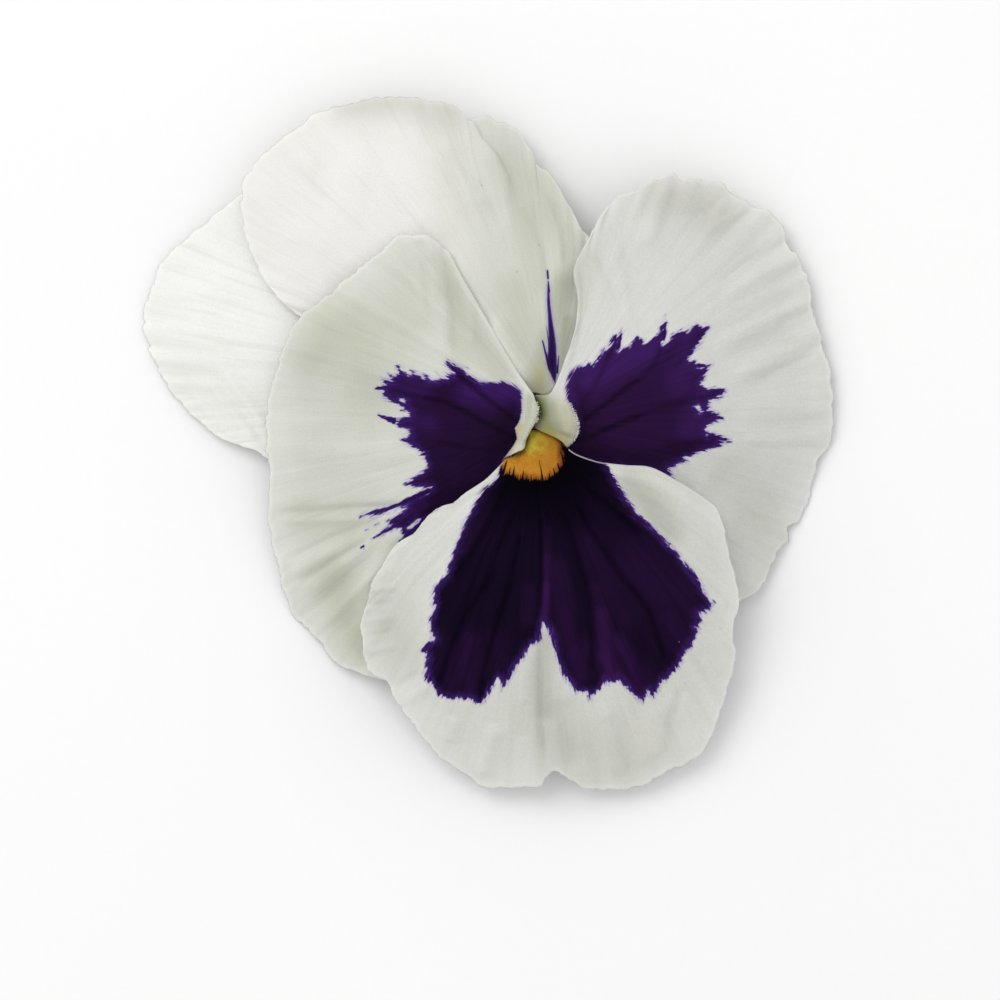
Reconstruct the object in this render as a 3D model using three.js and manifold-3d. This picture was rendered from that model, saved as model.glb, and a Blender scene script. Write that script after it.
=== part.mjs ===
// A picked pansy flower lying on its back, face up.
// Millimetres, +Z up. Z = 0 is the surface the flower lies on, the origin is under the
// middle of the flower. +Y points to the two upper petals, -Y to the lower petal.
//
// Five petals (one lower with a spur, two lateral, two upper), five sepals with
// backward auricles, the receptacle, five stamens, the pistil and a short picked stalk.
import * as THREE from 'three';
import { mergeVertices } from 'three/addons/utils/BufferGeometryUtils.js';
import Module from 'manifold-3d';

const wasm = await Module();
wasm.setup();

// ---------------------------------------------------------------- driving dimensions
const VIEW_DISTANCE = 600;      // the petal outlines are drawn as seen from this far above
const FACE_HEIGHT = 11;         // the face plane they are drawn in
const VIEW_AXIS = [1.15, -5.65];
const PETAL_THICKNESS = 0.35;
const PETAL_COLUMNS = 28;       // cells across a petal, one side margin to the other
const BLADE_ROWS = 9;           // cells from the throat to the margin
const CLAW_ROWS = 4;            // cells from the receptacle up to the throat
const CENTRE = [4.0, 3.5];      // axis of the receptacle
const CLAW_RADIUS = 1.9;        // where the petal claws stand on the receptacle
const CLAW_BASE = 4.25;
const RECEPTACLE = { radius: 2.35, bottom: 2.7, top: 3.8 };
const SEPAL = { length: 11.5, width: 3.9, thickness: 0.45, attach: 2.95, auricle: 3.4 };
const SPUR = { radius: 0.88, tipRadius: 0.74, wall: 0.3, length: 5.3 };
const STALK = { radius: 0.9, length: 15.0, direction: 122 };
const STAMEN = { ring: 1.13, width: 0.86, thickness: 0.44, height: 2.1 };

// Each petal: lip = the line where its claw turns over at the throat; sideA and sideB =
// its two side margins from the lip outwards; rim = its outer margin from sideA to sideB;
// height = [x, y, z] that its surface passes.
const PETALS = {
  lower: {
    lip: [[7.45, -0.65], [6.45, -1.95], [4.85, -2.75], [3.05, -2.65], [1.75, -2.35]],
    sideA: [[7.45, -0.65], [9.65, -1.35], [11.15, -1.85], [13.65, -2.15], [16.15, -2.35], [18.45, -3.45],
      [20.85, -4.85], [22.75, -6.25]],
    rim: [[22.75, -6.25], [23.55, -8.45], [23.95, -10.65], [24.65, -13.35], [25.05, -15.75], [24.35, -19.25],
      [24.75, -21.05], [23.75, -25.05], [22.35, -29.15], [21.05, -31.25], [17.25, -33.15], [15.45, -34.25],
      [11.95, -34.65], [9.25, -34.35], [8.15, -33.65], [7.35, -33], [6.35, -32.95], [5.65, -33.45], [5.25,
      -34.25], [3.15, -34.4], [1.25, -34.45], [-0.95, -34.25], [-1.75, -33.35], [-3.35, -32.45], [-5.25,
      -30.95], [-6.55, -29.35], [-8.15, -27.25], [-9.45, -25.35], [-10.15, -23.85], [-11.25, -23.25], [-12.15,
      -22.45], [-12.55, -20.25], [-12.75, -17.85], [-12.05, -15.75], [-11.75, -14.15], [-10.85, -12.55],
      [-9.45, -10.35], [-8.45, -9.55]],
    sideB: [[1.75, -2.35], [-0.35, -3.65], [-1.95, -4.75], [-3.35, -5.85], [-4.65, -6.25], [-5.55, -6.95],
      [-6.65, -8.45], [-8.45, -9.55]],
    height: [[7.45, -0.65, 11], [6.45, -1.95, 11.4], [4.85, -2.75, 11.5], [3.05, -2.65, 11.4], [1.75, -2.35,
      10.95], [5.65, -7.65, 12.5], [5.65, -15.65, 11.8], [5.35, -23.65, 9], [6.35, -32.95, 4.2], [-1.85,
      -5.65, 11.5], [-4.65, -6.35, 10.9], [-8.45, -9.65, 9.2], [-11.75, -14.65, 7.2], [-12.45, -20.65, 5.2],
      [-9.45, -25.35, 4.3], [-5.25, -30.95, 3.2], [1.25, -34.45, 2.6], [-2.85, -15.65, 10.1], [-5.85, -23.65,
      6.9], [1.15, -11.65, 11.7], [10.15, -10.65, 11.9], [11.15, -1.95, 11.8], [16.15, -2.45, 11.2], [18.45,
      -3.55, 10.7], [22.75, -6.25, 8.9], [24.05, -10.85, 7.3], [25.05, -15.75, 5.8], [24.75, -21.05, 4.5],
      [22.35, -29.15, 3], [17.25, -33.15, 2.4], [11.95, -34.65, 2.4], [15.15, -11.65, 10.7], [19.15, -19.65,
      7.8], [14.15, -26.65, 6]],
  },
  lateral_left: {
    lip: [[4.15, 4.95], [4.25, 3.75], [4.15, 2.35], [3.75, 0.95], [3.25, -0.25]],
    sideA: [[4.15, 4.95], [2.65, 7.45], [0.35, 11.55], [-2.55, 16.55], [-3.75, 18.95]],
    rim: [[-3.75, 18.95], [-5.55, 20.35], [-7.55, 20.95], [-9.35, 20.55], [-10.75, 19.25], [-13.75, 16.85],
      [-16.05, 14.85], [-19.05, 12.45], [-20.45, 9.85], [-21.25, 7.15], [-21.95, 4.85], [-22.25, 1.65],
      [-22.05, -1.55], [-21.85, -3.45], [-22.05, -6.15], [-21.85, -9.15], [-21.25, -11.45], [-20.55, -14.45],
      [-19.75, -16.75], [-18.25, -18.55], [-16.85, -19.75], [-15.95, -21.35], [-14.35, -22.45], [-12.95,
      -22.95], [-10.45, -23.65], [-8.85, -23.55], [-7.65, -22.45]],
    sideB: [[3.25, -0.25], [2.05, -1.25], [1.15, -2.25], [-0.05, -4.85], [-2.05, -9.65], [-4.85, -16.65],
      [-7.65, -22.45]],
    height: [[4.15, 4.95, 11], [3.65, 2.35, 11.3], [2.65, 7.45, 10.4], [-2.55, 16.55, 8.4], [-5.55, 20.35,
      7.2], [-10.75, 19.25, 6.6], [-19.05, 12.45, 5.4], [-22.25, 1.65, 3.6], [-22.05, -6.15, 2.3], [-20.55,
      -14.45, 1], [-18.25, -18.55, 0.55], [-15.95, -21.35, 0.9], [-10.45, -23.65, 2.6], [-0.85, 4.35, 10.9],
      [-4.85, 0.35, 10.8], [-8.85, 9.35, 9.6], [-13.85, 4.35, 8.7], [-14.85, -3.65, 7.4], [-6.85, -5.65, 9.7],
      [-13.85, -13.65, 4.9], [-5.85, -11.65, 8.1], [3.25, -0.25, 10.9], [1.25, -2.25, 10], [-0.85, -7.65,
      9.6], [-4.85, -16.65, 6.2], [-7.65, -22.45, 3.4]],
  },
  lateral_right: {
    lip: [[6.35, 5.25], [7.35, 4.05], [7.85, 2.55], [7.85, 1.15], [7.55, -0.05]],
    sideA: [[6.35, 5.25], [6.75, 6.05], [7.55, 7.95], [8.55, 10.75], [8.95, 13.75], [8.85, 14.95], [8.45,
      16.75], [8.75, 18.25]],
    rim: [[8.75, 18.25], [10.05, 20.55], [11.05, 22.45], [12.75, 24.55], [15.15, 25.45], [15.95, 26.05],
      [17.15, 26.45], [18.35, 27.05], [19.25, 26.45], [21.25, 26.35], [23.05, 26.15], [24.25, 25.15], [26.25,
      23.85], [28.35, 23.05], [29.25, 21.95], [30.05, 19.85], [31.25, 18.05], [32.25, 15.45], [32.25, 13.95],
      [32.85, 11.95], [33.45, 9.55], [34.15, 7.55], [34.45, 2.85], [34.15, 0.15], [32.75, -2.15], [32.45,
      -3.95], [31.25, -7.45], [30.05, -8.35], [29.95, -9.45], [28.35, -11.85], [27.75, -13.65], [26.85,
      -14.75], [25.35, -15.65], [23.15, -16.25], [20.55, -15.65], [17.95, -13.85]],
    sideB: [[7.55, -0.05], [9.35, -2.65], [11.75, -6.15], [14.75, -10.15], [17.95, -13.85]],
    height: [[6.35, 5.25, 10.8], [7.85, 2.55, 11.6], [7.55, -0.05, 10.5], [7.55, 7.95, 10.4], [8.95, 14.35,
      9], [8.75, 18.25, 7.9], [12.75, 24.55, 5.6], [18.35, 27.05, 4.2], [24.25, 25.15, 3.2], [30.05, 19.85,
      2.2], [32.85, 11.95, 1.7], [34.45, 2.85, 1.2], [32.75, -2.15, 0.85], [30.05, -8.35, 0.95], [26.85,
      -14.75, 1.6], [23.35, -15.95, 3], [11.15, 0.35, 10.5], [15.15, 4.35, 10.7], [13.15, 10.35, 10.3],
      [20.15, 4.35, 9.6], [19.15, 14.35, 8.2], [27.15, 6.35, 5.6], [26.15, 14.35, 5.4], [25.15, -2.65, 6],
      [21.15, -7.65, 7.4], [14.75, -10.15, 9.2], [11.15, -5.45, 10], [17.95, -13.85, 7]],
  },
  upper_right: {
    lip: [[4.85, 5.05], [5.25, 5.25], [5.75, 5.5], [6.25, 5.75], [6.75, 6.15]],
    sideA: [[4.85, 5.05], [1.65, 5.55], [-3.85, 6.75], [-9.85, 8.95], [-15.35, 10.85]],
    rim: [[-15.35, 10.85], [-19.35, 13.05], [-21.95, 15.65], [-23.15, 17.75], [-24.45, 21.25], [-24.75,
      24.95], [-24.45, 26.25], [-23.85, 27.45], [-21.65, 29.75], [-19.05, 31.65], [-17.25, 33.05], [-14.35,
      33.85], [-11.35, 34.55], [-8.45, 34.65], [-5.55, 34.25], [-3.75, 33.85], [-3.15, 34.05], [-2.55, 33.45],
      [-1.95, 32.55], [-0.25, 32.75], [0.75, 32.15], [1.85, 32.25], [2.95, 31.25], [4.35, 29.15], [4.75,
      28.05], [6.25, 26.85], [7.35, 25.05], [8.15, 23.65], [9.15, 21.85], [9.95, 20.65], [11.15, 18.75],
      [12.35, 16.35]],
    sideB: [[6.75, 6.15], [8.85, 8.35], [10.95, 10.15], [12.35, 13.15], [12.35, 16.35]],
    height: [[1.65, 5.55, 8.3], [-3.85, 7.05, 7.5], [-9.85, 8.95, 6.2], [-15.35, 10.85, 4.8], [-19.35, 13.05,
      4.3], [-23.15, 17.75, 3.7], [-24.75, 24.95, 3.2], [-21.65, 29.75, 3.1], [-14.35, 33.85, 3.2], [-8.45,
      34.65, 3.3], [-3.75, 33.85, 3.6], [-0.25, 32.75, 3.2], [2.95, 31.25, 3.2], [6.25, 26.85, 3.6], [9.95,
      20.65, 5.2], [12.35, 15.35, 6.4], [5.65, 10.35, 8.4], [5.65, 16.35, 7.4], [1.15, 14.35, 7.2], [-3.85,
      22.35, 6], [-8.85, 28.35, 4.9], [-15.85, 22.35, 4.9], [-8.85, 16.35, 5.9], [10.15, 10.35, 8], [-15.85,
      29.35, 4], [4.85, 5.05, 8.3], [5.75, 5.55, 8.4], [6.75, 6.15, 8.5]],
  },
  upper_left: {
    lip: [[3.75, 5.95], [3.25, 5.85], [2.75, 5.65], [2.25, 5.35], [1.85, 4.95]],
    sideA: [[3.75, 5.95], [3.15, 9.35], [-1.85, 15.35], [-7.85, 19.85], [-13.85, 23.85]],
    rim: [[-13.85, 23.85], [-17.85, 25.65], [-21.65, 26.15], [-24.75, 24.95], [-26.35, 23.75], [-28.95,
      21.55], [-31.35, 19.55], [-32.95, 17.75], [-33.55, 15.95], [-34.55, 13.05], [-34.25, 10.45], [-33.35,
      8.05], [-31.95, 5.45], [-30.45, 3.65], [-28.65, 1.95], [-26.65, 0.45], [-23.75, -0.55], [-22.05, -1.45],
      [-18.85, -2.45], [-14.85, -3.05], [-11.35, -3.05]],
    sideB: [[1.85, 4.95], [-0.35, 2.55], [-3.35, -0.45], [-7.65, -1.85], [-11.35, -3.05]],
    height: [[-1.85, 15.35, 5.6], [-13.85, 23.85, 3.5], [-21.65, 26.15, 2.1], [-24.75, 24.95, 2], [-28.95,
      21.55, 1.3], [-32.95, 17.75, 0.8], [-34.55, 13.05, 0.5], [-33.35, 8.05, 0.55], [-30.45, 3.65, 0.8],
      [-26.65, 0.45, 1.3], [-22.05, -1.45, 2], [-14.85, -3.05, 3.6], [-11.35, -3.05, 4.6], [-3.85, -0.45, 6],
      [-22.85, 14.35, 2.6], [-26.85, 10.35, 2], [-18.85, 6.35, 3.3], [-8.85, 9.35, 5.2], [-14.85, 16.35, 3.6],
      [3.75, 5.75, 6.9], [1.85, 4.85, 6.7], [2.75, 5.55, 6.9], [-0.85, 7.35, 6.4]],
  },
};
// Claws: where each petal stands around the receptacle, degrees from +X.
const CLAWS = {
  lateral_left: [146, 214], lateral_right: [45, -35], upper_right: [94, 65], upper_left: [107, 134],
};

// ---------------------------------------------------------------- small maths
const rad = (d) => d * Math.PI / 180;
const sub = (a, b) => [a[0] - b[0], a[1] - b[1], a[2] - b[2]];
const add = (a, b) => [a[0] + b[0], a[1] + b[1], a[2] + b[2]];
const mul = (a, s) => [a[0] * s, a[1] * s, a[2] * s];
const cross = (a, b) => [a[1] * b[2] - a[2] * b[1], a[2] * b[0] - a[0] * b[2], a[0] * b[1] - a[1] * b[0]];
const len = (a) => Math.hypot(a[0], a[1], a[2]);
const unit = (a) => mul(a, 1 / (len(a) || 1));

function along(pts, t) {          // smooth curve through pts, t = 0..1 by chord length
  const n = pts.length, L = [0];
  for (let i = 1; i < n; i++) L.push(L[i - 1] + Math.hypot(...pts[i].map((q, k) => q - pts[i - 1][k])));
  const T = L.map((q) => q / L[n - 1]);
  const u = Math.min(Math.max(t, 0), 1);
  let i = 0;
  while (i < n - 2 && u >= T[i + 1]) i++;
  const slope = (j, k) => {
    const a = Math.max(j - 1, 0), b = Math.min(j + 1, n - 1);
    return (pts[b][k] - pts[a][k]) / (T[b] - T[a]);
  };
  const h = T[i + 1] - T[i], s = (u - T[i]) / h;
  return pts[0].map((_, k) => (2 * s ** 3 - 3 * s ** 2 + 1) * pts[i][k] + (s ** 3 - 2 * s ** 2 + s) * h * slope(i, k)
    + (-2 * s ** 3 + 3 * s ** 2) * pts[i + 1][k] + (s ** 3 - s ** 2) * h * slope(i + 1, k));
}

function plateThrough(points) {   // smooth height field z(x, y) through the points
  const P = points.map(([x, y]) => [x / 10, y / 10]), n = P.length, N = n + 3;
  const U = (d2) => (d2 > 0 ? 0.5 * d2 * Math.log(d2) : 0);
  const A = Array.from({ length: N }, () => new Array(N + 1).fill(0));
  for (let i = 0; i < n; i++) {
    for (let j = 0; j < n; j++) A[i][j] = U((P[i][0] - P[j][0]) ** 2 + (P[i][1] - P[j][1]) ** 2);
    A[i][i] += 0.01;
    A[i][n] = A[n][i] = 1;
    A[i][n + 1] = A[n + 1][i] = P[i][0];
    A[i][n + 2] = A[n + 2][i] = P[i][1];
    A[i][N] = points[i][2];
  }
  for (let c = 0; c < N; c++) {
    let p = c;
    for (let r = c + 1; r < N; r++) if (Math.abs(A[r][c]) > Math.abs(A[p][c])) p = r;
    [A[c], A[p]] = [A[p], A[c]];
    for (let r = 0; r < N; r++) {
      if (r === c) continue;
      const f = A[r][c] / A[c][c];
      if (f) for (let k = c; k <= N; k++) A[r][k] -= f * A[c][k];
    }
  }
  const w = A.map((row, i) => row[N] / row[i]);
  return (x, y) => {
    const a = x / 10, b = y / 10;
    let z = w[n] + w[n + 1] * a + w[n + 2] * b;
    for (let i = 0; i < n; i++) z += w[i] * U((a - P[i][0]) ** 2 + (b - P[i][1]) ** 2);
    return z;
  };
}

// A point drawn at (x, y) on the face plane, at its real place at height z.
function place(x, y, z) {
  const k = (VIEW_DISTANCE + FACE_HEIGHT - z) / VIEW_DISTANCE;
  return [VIEW_AXIS[0] + (x - VIEW_AXIS[0]) * k, VIEW_AXIS[1] + (y - VIEW_AXIS[1]) * k, z];
}

// ---------------------------------------------------------------- bodies
function bodyFrom(verts, tris) {  // one closed body, faces turned out
  let v6 = 0;
  for (const [a, b, c] of tris) {
    const [p, q, r] = [verts[a], verts[b], verts[c]];
    const m = cross(q, r);
    v6 += p[0] * m[0] + p[1] * m[1] + p[2] * m[2];
  }
  const g = new THREE.BufferGeometry();
  g.setAttribute('position', new THREE.Float32BufferAttribute(verts.flat(), 3));
  g.setIndex(tris.flatMap(([a, b, c]) => (v6 < 0 ? [a, c, b] : [a, b, c])));
  return g;
}

function sheet(grid, thickness) { // grid[row][column] = mid-surface point
  const R = grid.length, C = grid[0].length, verts = [], tris = [];
  const at = (r, c) => grid[Math.min(Math.max(r, 0), R - 1)][Math.min(Math.max(c, 0), C - 1)];
  for (const side of [0.5, -0.5]) {
    for (let r = 0; r < R; r++) for (let c = 0; c < C; c++) {
      const n = unit(cross(sub(at(r + 1, c), at(r - 1, c)), sub(at(r, c + 1), at(r, c - 1))));
      verts.push(add(grid[r][c], mul(n, side * thickness)));
    }
  }
  const A = (r, c) => r * C + c, B = (r, c) => R * C + r * C + c;
  for (let r = 0; r < R - 1; r++) for (let c = 0; c < C - 1; c++) {
    const d1 = len(sub(grid[r][c], grid[r + 1][c + 1])), d2 = len(sub(grid[r][c + 1], grid[r + 1][c]));
    if (d1 < d2) {
      tris.push([A(r, c), A(r + 1, c), A(r + 1, c + 1)], [A(r, c), A(r + 1, c + 1), A(r, c + 1)]);
      tris.push([B(r, c), B(r + 1, c + 1), B(r + 1, c)], [B(r, c), B(r, c + 1), B(r + 1, c + 1)]);
    } else {
      tris.push([A(r, c), A(r + 1, c), A(r, c + 1)], [A(r, c + 1), A(r + 1, c), A(r + 1, c + 1)]);
      tris.push([B(r, c), B(r, c + 1), B(r + 1, c)], [B(r, c + 1), B(r + 1, c + 1), B(r + 1, c)]);
    }
  }
  const loop = [];
  for (let c = 0; c < C - 1; c++) loop.push([0, c]);
  for (let r = 0; r < R - 1; r++) loop.push([r, C - 1]);
  for (let c = C - 1; c > 0; c--) loop.push([R - 1, c]);
  for (let r = R - 1; r > 0; r--) loop.push([r, 0]);
  loop.forEach(([r, c], i) => {
    const [s, d] = loop[(i + 1) % loop.length];
    tris.push([A(r, c), A(s, d), B(s, d)], [A(r, c), B(s, d), B(r, c)]);
  });
  return bodyFrom(verts, tris);
}

// A closed body swept along a path; rx, ry = half widths of its oval section at each
// point of the path, across and along the direction "flat".
function swept(path, rx, ry, sides, flat = [0, 0, 1]) {
  const verts = [], tris = [], n = path.length;
  for (let i = 0; i < n; i++) {
    const t = unit(sub(path[Math.min(i + 1, n - 1)], path[Math.max(i - 1, 0)]));
    let a = unit(cross(flat, t));
    const b = cross(t, a);
    for (let k = 0; k < sides; k++) {
      const w = 2 * Math.PI * k / sides;
      verts.push(add(path[i], add(mul(a, rx[i] * Math.cos(w)), mul(b, ry[i] * Math.sin(w)))));
    }
  }
  for (let i = 0; i < n - 1; i++) for (let k = 0; k < sides; k++) {
    const a = i * sides + k, b = i * sides + (k + 1) % sides;
    tris.push([a, b, a + sides], [b, b + sides, a + sides]);
  }
  verts.push(path[0], path[n - 1]);
  const s = verts.length - 2, e = s + 1;
  for (let k = 0; k < sides; k++) {
    const k2 = (k + 1) % sides;
    tris.push([s, k2, k], [e, (n - 1) * sides + k, (n - 1) * sides + k2]);
  }
  return bodyFrom(verts, tris);
}

function solid(geometry) {
  const g = geometry.clone();
  g.deleteAttribute('normal');
  g.deleteAttribute('uv');
  const m = mergeVertices(g, 1e-4);
  return new wasm.Manifold(new wasm.Mesh({
    numProp: 3, vertProperties: new Float32Array(m.attributes.position.array), triVerts: new Uint32Array(m.index.array),
  }));
}

function geometryOf(manifold) {
  const mesh = manifold.getMesh();
  const g = new THREE.BufferGeometry();
  g.setAttribute('position', new THREE.BufferAttribute(Float32Array.from(mesh.vertProperties), 3));
  g.setIndex(new THREE.BufferAttribute(Uint32Array.from(mesh.triVerts), 1));
  return g;
}

// ---------------------------------------------------------------- petals
function blade(P, height, f, v) { // f = 0 at the lip, 1 at the rim; v across the petal
  const lip = along(P.lip, v), rim = along(P.rim, v);
  const q = [0, 1].map((k) => lip[k] * (1 - f) + rim[k] * f);
  for (const [side, e, w] of [[P.sideA, 0, (1 - v) ** 7], [P.sideB, 1, v ** 7]]) {
    const l = along(P.lip, e), r = along(P.rim, e), s = along(side, f);
    for (const k of [0, 1]) q[k] += w * (s[k] - (l[k] * (1 - f) + r[k] * f));
  }
  return place(q[0], q[1], height(q[0], q[1]));
}

function petalGrid(P, clawAt, clawStart) {
  const height = plateThrough(P.height), grid = [];
  for (let r = 0; r < CLAW_ROWS; r++) {
    grid.push([]);
    for (let c = 0; c <= PETAL_COLUMNS; c++) {
      const v = c / PETAL_COLUMNS, s = r / CLAW_ROWS;
      const p0 = clawAt(v), p1 = blade(P, height, 0, v), d = len(sub(p1, p0));
      const t0 = mul(clawStart(v), d), t1 = mul(unit(sub(blade(P, height, 0.03, v), p1)), d * 0.9);
      grid[r].push([0, 1, 2].map((k) => (2 * s ** 3 - 3 * s ** 2 + 1) * p0[k] + (s ** 3 - 2 * s ** 2 + s) * t0[k]
        + (-2 * s ** 3 + 3 * s ** 2) * p1[k] + (s ** 3 - s ** 2) * t1[k]));
    }
  }
  for (let r = 0; r <= BLADE_ROWS; r++) {
    grid.push([]);
    for (let c = 0; c <= PETAL_COLUMNS; c++) grid[CLAW_ROWS + r].push(blade(P, height, r / BLADE_ROWS, c / PETAL_COLUMNS));
  }
  return grid;
}

function clawOnRing([from, to]) {
  return (v) => {
    const a = rad(from + (to - from) * v);
    return [CENTRE[0] + CLAW_RADIUS * Math.cos(a), CENTRE[1] + CLAW_RADIUS * Math.sin(a), CLAW_BASE];
  };
}

// The spur: a blunt tube behind the lower petal. Its mouth leans towards the throat, and
// the claw of the lower petal ends on the mouth's upper edge.
const MOUTH = [CENTRE[0] + 0.2, CENTRE[1] - 2.05, 5.1];
const SPUR_AXIS = [0, -0.6, -0.8], SPUR_UP = [0, -0.8, 0.6];
function spurClaw(v) {
  const a = rad(75 - 150 * v);
  return add(MOUTH, add(mul(SPUR_UP, SPUR.radius * Math.cos(a)), [SPUR.radius * Math.sin(a), 0, 0]));
}
function spur() {
  const sides = 16, outer = [], inner = [];
  const centre = (s) => add(MOUTH, add(mul(SPUR_AXIS, s), [0, -0.035 * s * s, 0.018 * s * s]));
  const ring = (s, r) => Array.from({ length: sides }, (_, k) => {
    const w = 2 * Math.PI * k / sides;
    return add(centre(s), add(mul(SPUR_UP, r * Math.cos(w)), [r * Math.sin(w), 0, 0]));
  });
  const R = (s) => SPUR.radius + 0.15 + (SPUR.tipRadius - SPUR.radius) * (s / SPUR.length);
  for (const s of [0, 0.26, 0.52, 0.76]) outer.push(ring(s * SPUR.length, R(s * SPUR.length)));
  for (const [s, f] of [[0.9, 0.86], [0.97, 0.55]]) outer.push(ring(s * SPUR.length, R(s * SPUR.length) * f));
  for (const s of [0, 0.26, 0.52, 0.76]) inner.push(ring(s * SPUR.length, R(s * SPUR.length) - SPUR.wall));
  inner.push(ring(0.88 * SPUR.length, (R(4) - SPUR.wall) * 0.7));
  const rings = [...[...inner].reverse(), ...outer], verts = rings.flat(), tris = [];
  for (let i = 0; i < rings.length - 1; i++) for (let k = 0; k < sides; k++) {
    const a = i * sides + k, b = i * sides + (k + 1) % sides;
    tris.push([a, b, a + sides], [b, b + sides, a + sides]);
  }
  verts.push(centre(0.91 * SPUR.length), centre(SPUR.length));
  const s = verts.length - 2, e = s + 1, last = (rings.length - 1) * sides;
  for (let k = 0; k < sides; k++) {
    const k2 = (k + 1) % sides;
    tris.push([s, k2, k], [e, last + k, last + k2]);
  }
  return bodyFrom(verts, tris);
}

const white = (name, hex) => Object.assign(new THREE.MeshStandardMaterial({ color: hex, roughness: 0.62, metalness: 0 }), { name });
const MATERIALS = {
  petal: white('petal', 0xe9e8e0), lower: white('petal_lower', 0xe4e3da), green: white('calyx', 0x6f8f45),
  stalk: white('stalk', 0x7f9c52), anther: white('anther', 0xd9a24a), pistil: white('pistil', 0xa9b57c),
};

const flower = new THREE.Group();
function addPiece(name, geometry, material) {
  geometry.computeVertexNormals();
  const mesh = new THREE.Mesh(geometry, material);
  mesh.name = name;
  flower.add(mesh);
}

const outward = (v, [from, to], lean) => {
  const a = rad(from + (to - from) * v);
  return unit([Math.cos(a) * lean, Math.sin(a) * lean, 1]);
};
for (const [side, lean] of [['lateral_left', 0.35], ['lateral_right', 0.05], ['upper_right', 0.1], ['upper_left', 0.1]]) {
  const claw = CLAWS[side];
  addPiece(`petal_${side}`, sheet(petalGrid(PETALS[side], clawOnRing(claw), (v) => outward(v, claw, lean)), PETAL_THICKNESS), MATERIALS.petal);
}
const lowerSheet = sheet(petalGrid(PETALS.lower, spurClaw, () => unit([0, -0.35, 0.9])), PETAL_THICKNESS);
addPiece('petal_lower', geometryOf(solid(lowerSheet).add(solid(spur()))), MATERIALS.lower);

// ---------------------------------------------------------------- calyx
// A sepal is a narrow pointed leaf; below its attachment it goes on as a short rounded
// auricle that points back to the surface the flower lies on.
function sepal(direction, tipHeight, turn = 0) {
  const rows = 11, cols = 4, grid = [];
  const a = rad(direction), out = [Math.cos(a), Math.sin(a)], cross2 = [-Math.sin(a), Math.cos(a)];
  const line = [[SEPAL.attach + 2.0, 0.24], [SEPAL.attach + 1.15, 1.1], [SEPAL.attach + 0.3, 2.2], [SEPAL.attach + 0.05, 3.1],
    [SEPAL.attach + 0.9, 3.85], [SEPAL.attach + 3.2, 3.85 + (tipHeight - 3.85) * 0.42], [SEPAL.attach + 6.0, 3.85 + (tipHeight - 3.85) * 0.8],
    [SEPAL.length, tipHeight]];
  const half = [[0, 0.55], [0.08, 1.05], [0.2, 1.05], [0.32, 0.85], [0.42, 1.3], [0.55, SEPAL.width / 2], [0.72, 1.65], [0.88, 0.85], [1, 0.18]];
  const width = (t) => { let i = 0; while (i < half.length - 2 && t > half[i + 1][0]) i++;
    const s = (t - half[i][0]) / (half[i + 1][0] - half[i][0]); const e = s * s * (3 - 2 * s);
    return half[i][1] * (1 - e) + half[i + 1][1] * e; };
  for (let r = 0; r <= rows; r++) {
    const t = r / rows, [d, z] = along(line, t), w = width(t);
    grid.push([]);
    for (let c = 0; c <= cols; c++) {
      const s = 2 * c / cols - 1, bend = turn * t * t;
      grid[r].push([CENTRE[0] + out[0] * d + cross2[0] * (s * w + bend), CENTRE[1] + out[1] * d + cross2[1] * (s * w + bend), z + 0.16 * w * s * s]);
    }
  }
  return sheet(grid, SEPAL.thickness);
}
for (const [name, direction, tip, turn] of [['upper', 86, 5.2, 0.4], ['upper_left', 160, 4.3, -0.4], ['upper_right', 20, 7.4, 0.3],
  ['lower_left', 226, 7.4, 0.3], ['lower_right', 318, 7.4, -0.3]]) {
  addPiece(`sepal_${name}`, sepal(direction, tip, turn), MATERIALS.green);
}

// The receptacle carries everything; it is notched where the spur passes.
const cap = new THREE.LatheGeometry([[0, RECEPTACLE.bottom], [1.1, RECEPTACLE.bottom], [1.9, RECEPTACLE.bottom + 0.25],
  [RECEPTACLE.radius, RECEPTACLE.bottom + 0.65], [RECEPTACLE.radius - 0.15, RECEPTACLE.top - 0.12], [1.9, RECEPTACLE.top], [0, RECEPTACLE.top]]
  .map(([r, z]) => new THREE.Vector2(r, z)), 28);
cap.rotateX(Math.PI / 2);
cap.translate(CENTRE[0], CENTRE[1], 0);
const notchPath = [0, 1].map((s) => add(MOUTH, mul(SPUR_AXIS, -1.5 + 8 * s)));
const notch = swept(notchPath, [1.4, 1.4], [1.4, 1.4], 20, SPUR_UP);
addPiece('receptacle', geometryOf(solid(cap).subtract(solid(notch))), MATERIALS.green);

// ---------------------------------------------------------------- stalk
const sd = [Math.cos(rad(STALK.direction)), Math.sin(rad(STALK.direction))];
const stalkLine = [[-0.1, 2.1], [0.04, 1.72], [0.5, 1.22], [1.4, 0.97], [3, 0.92], [7, 0.92], [11, 0.96], [STALK.length, 0.92]];
const stalkPath = Array.from({ length: 19 }, (_, i) => {
  const [d, z] = along(stalkLine, i / 18), w = 0.010 * d * d;
  return [CENTRE[0] + sd[0] * d - sd[1] * w, CENTRE[1] + sd[1] * d + sd[0] * w, z];
});
addPiece('peduncle', swept(stalkPath, stalkPath.map(() => STALK.radius), stalkPath.map(() => STALK.radius), 12, [-sd[1], sd[0], 0]), MATERIALS.stalk);

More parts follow.
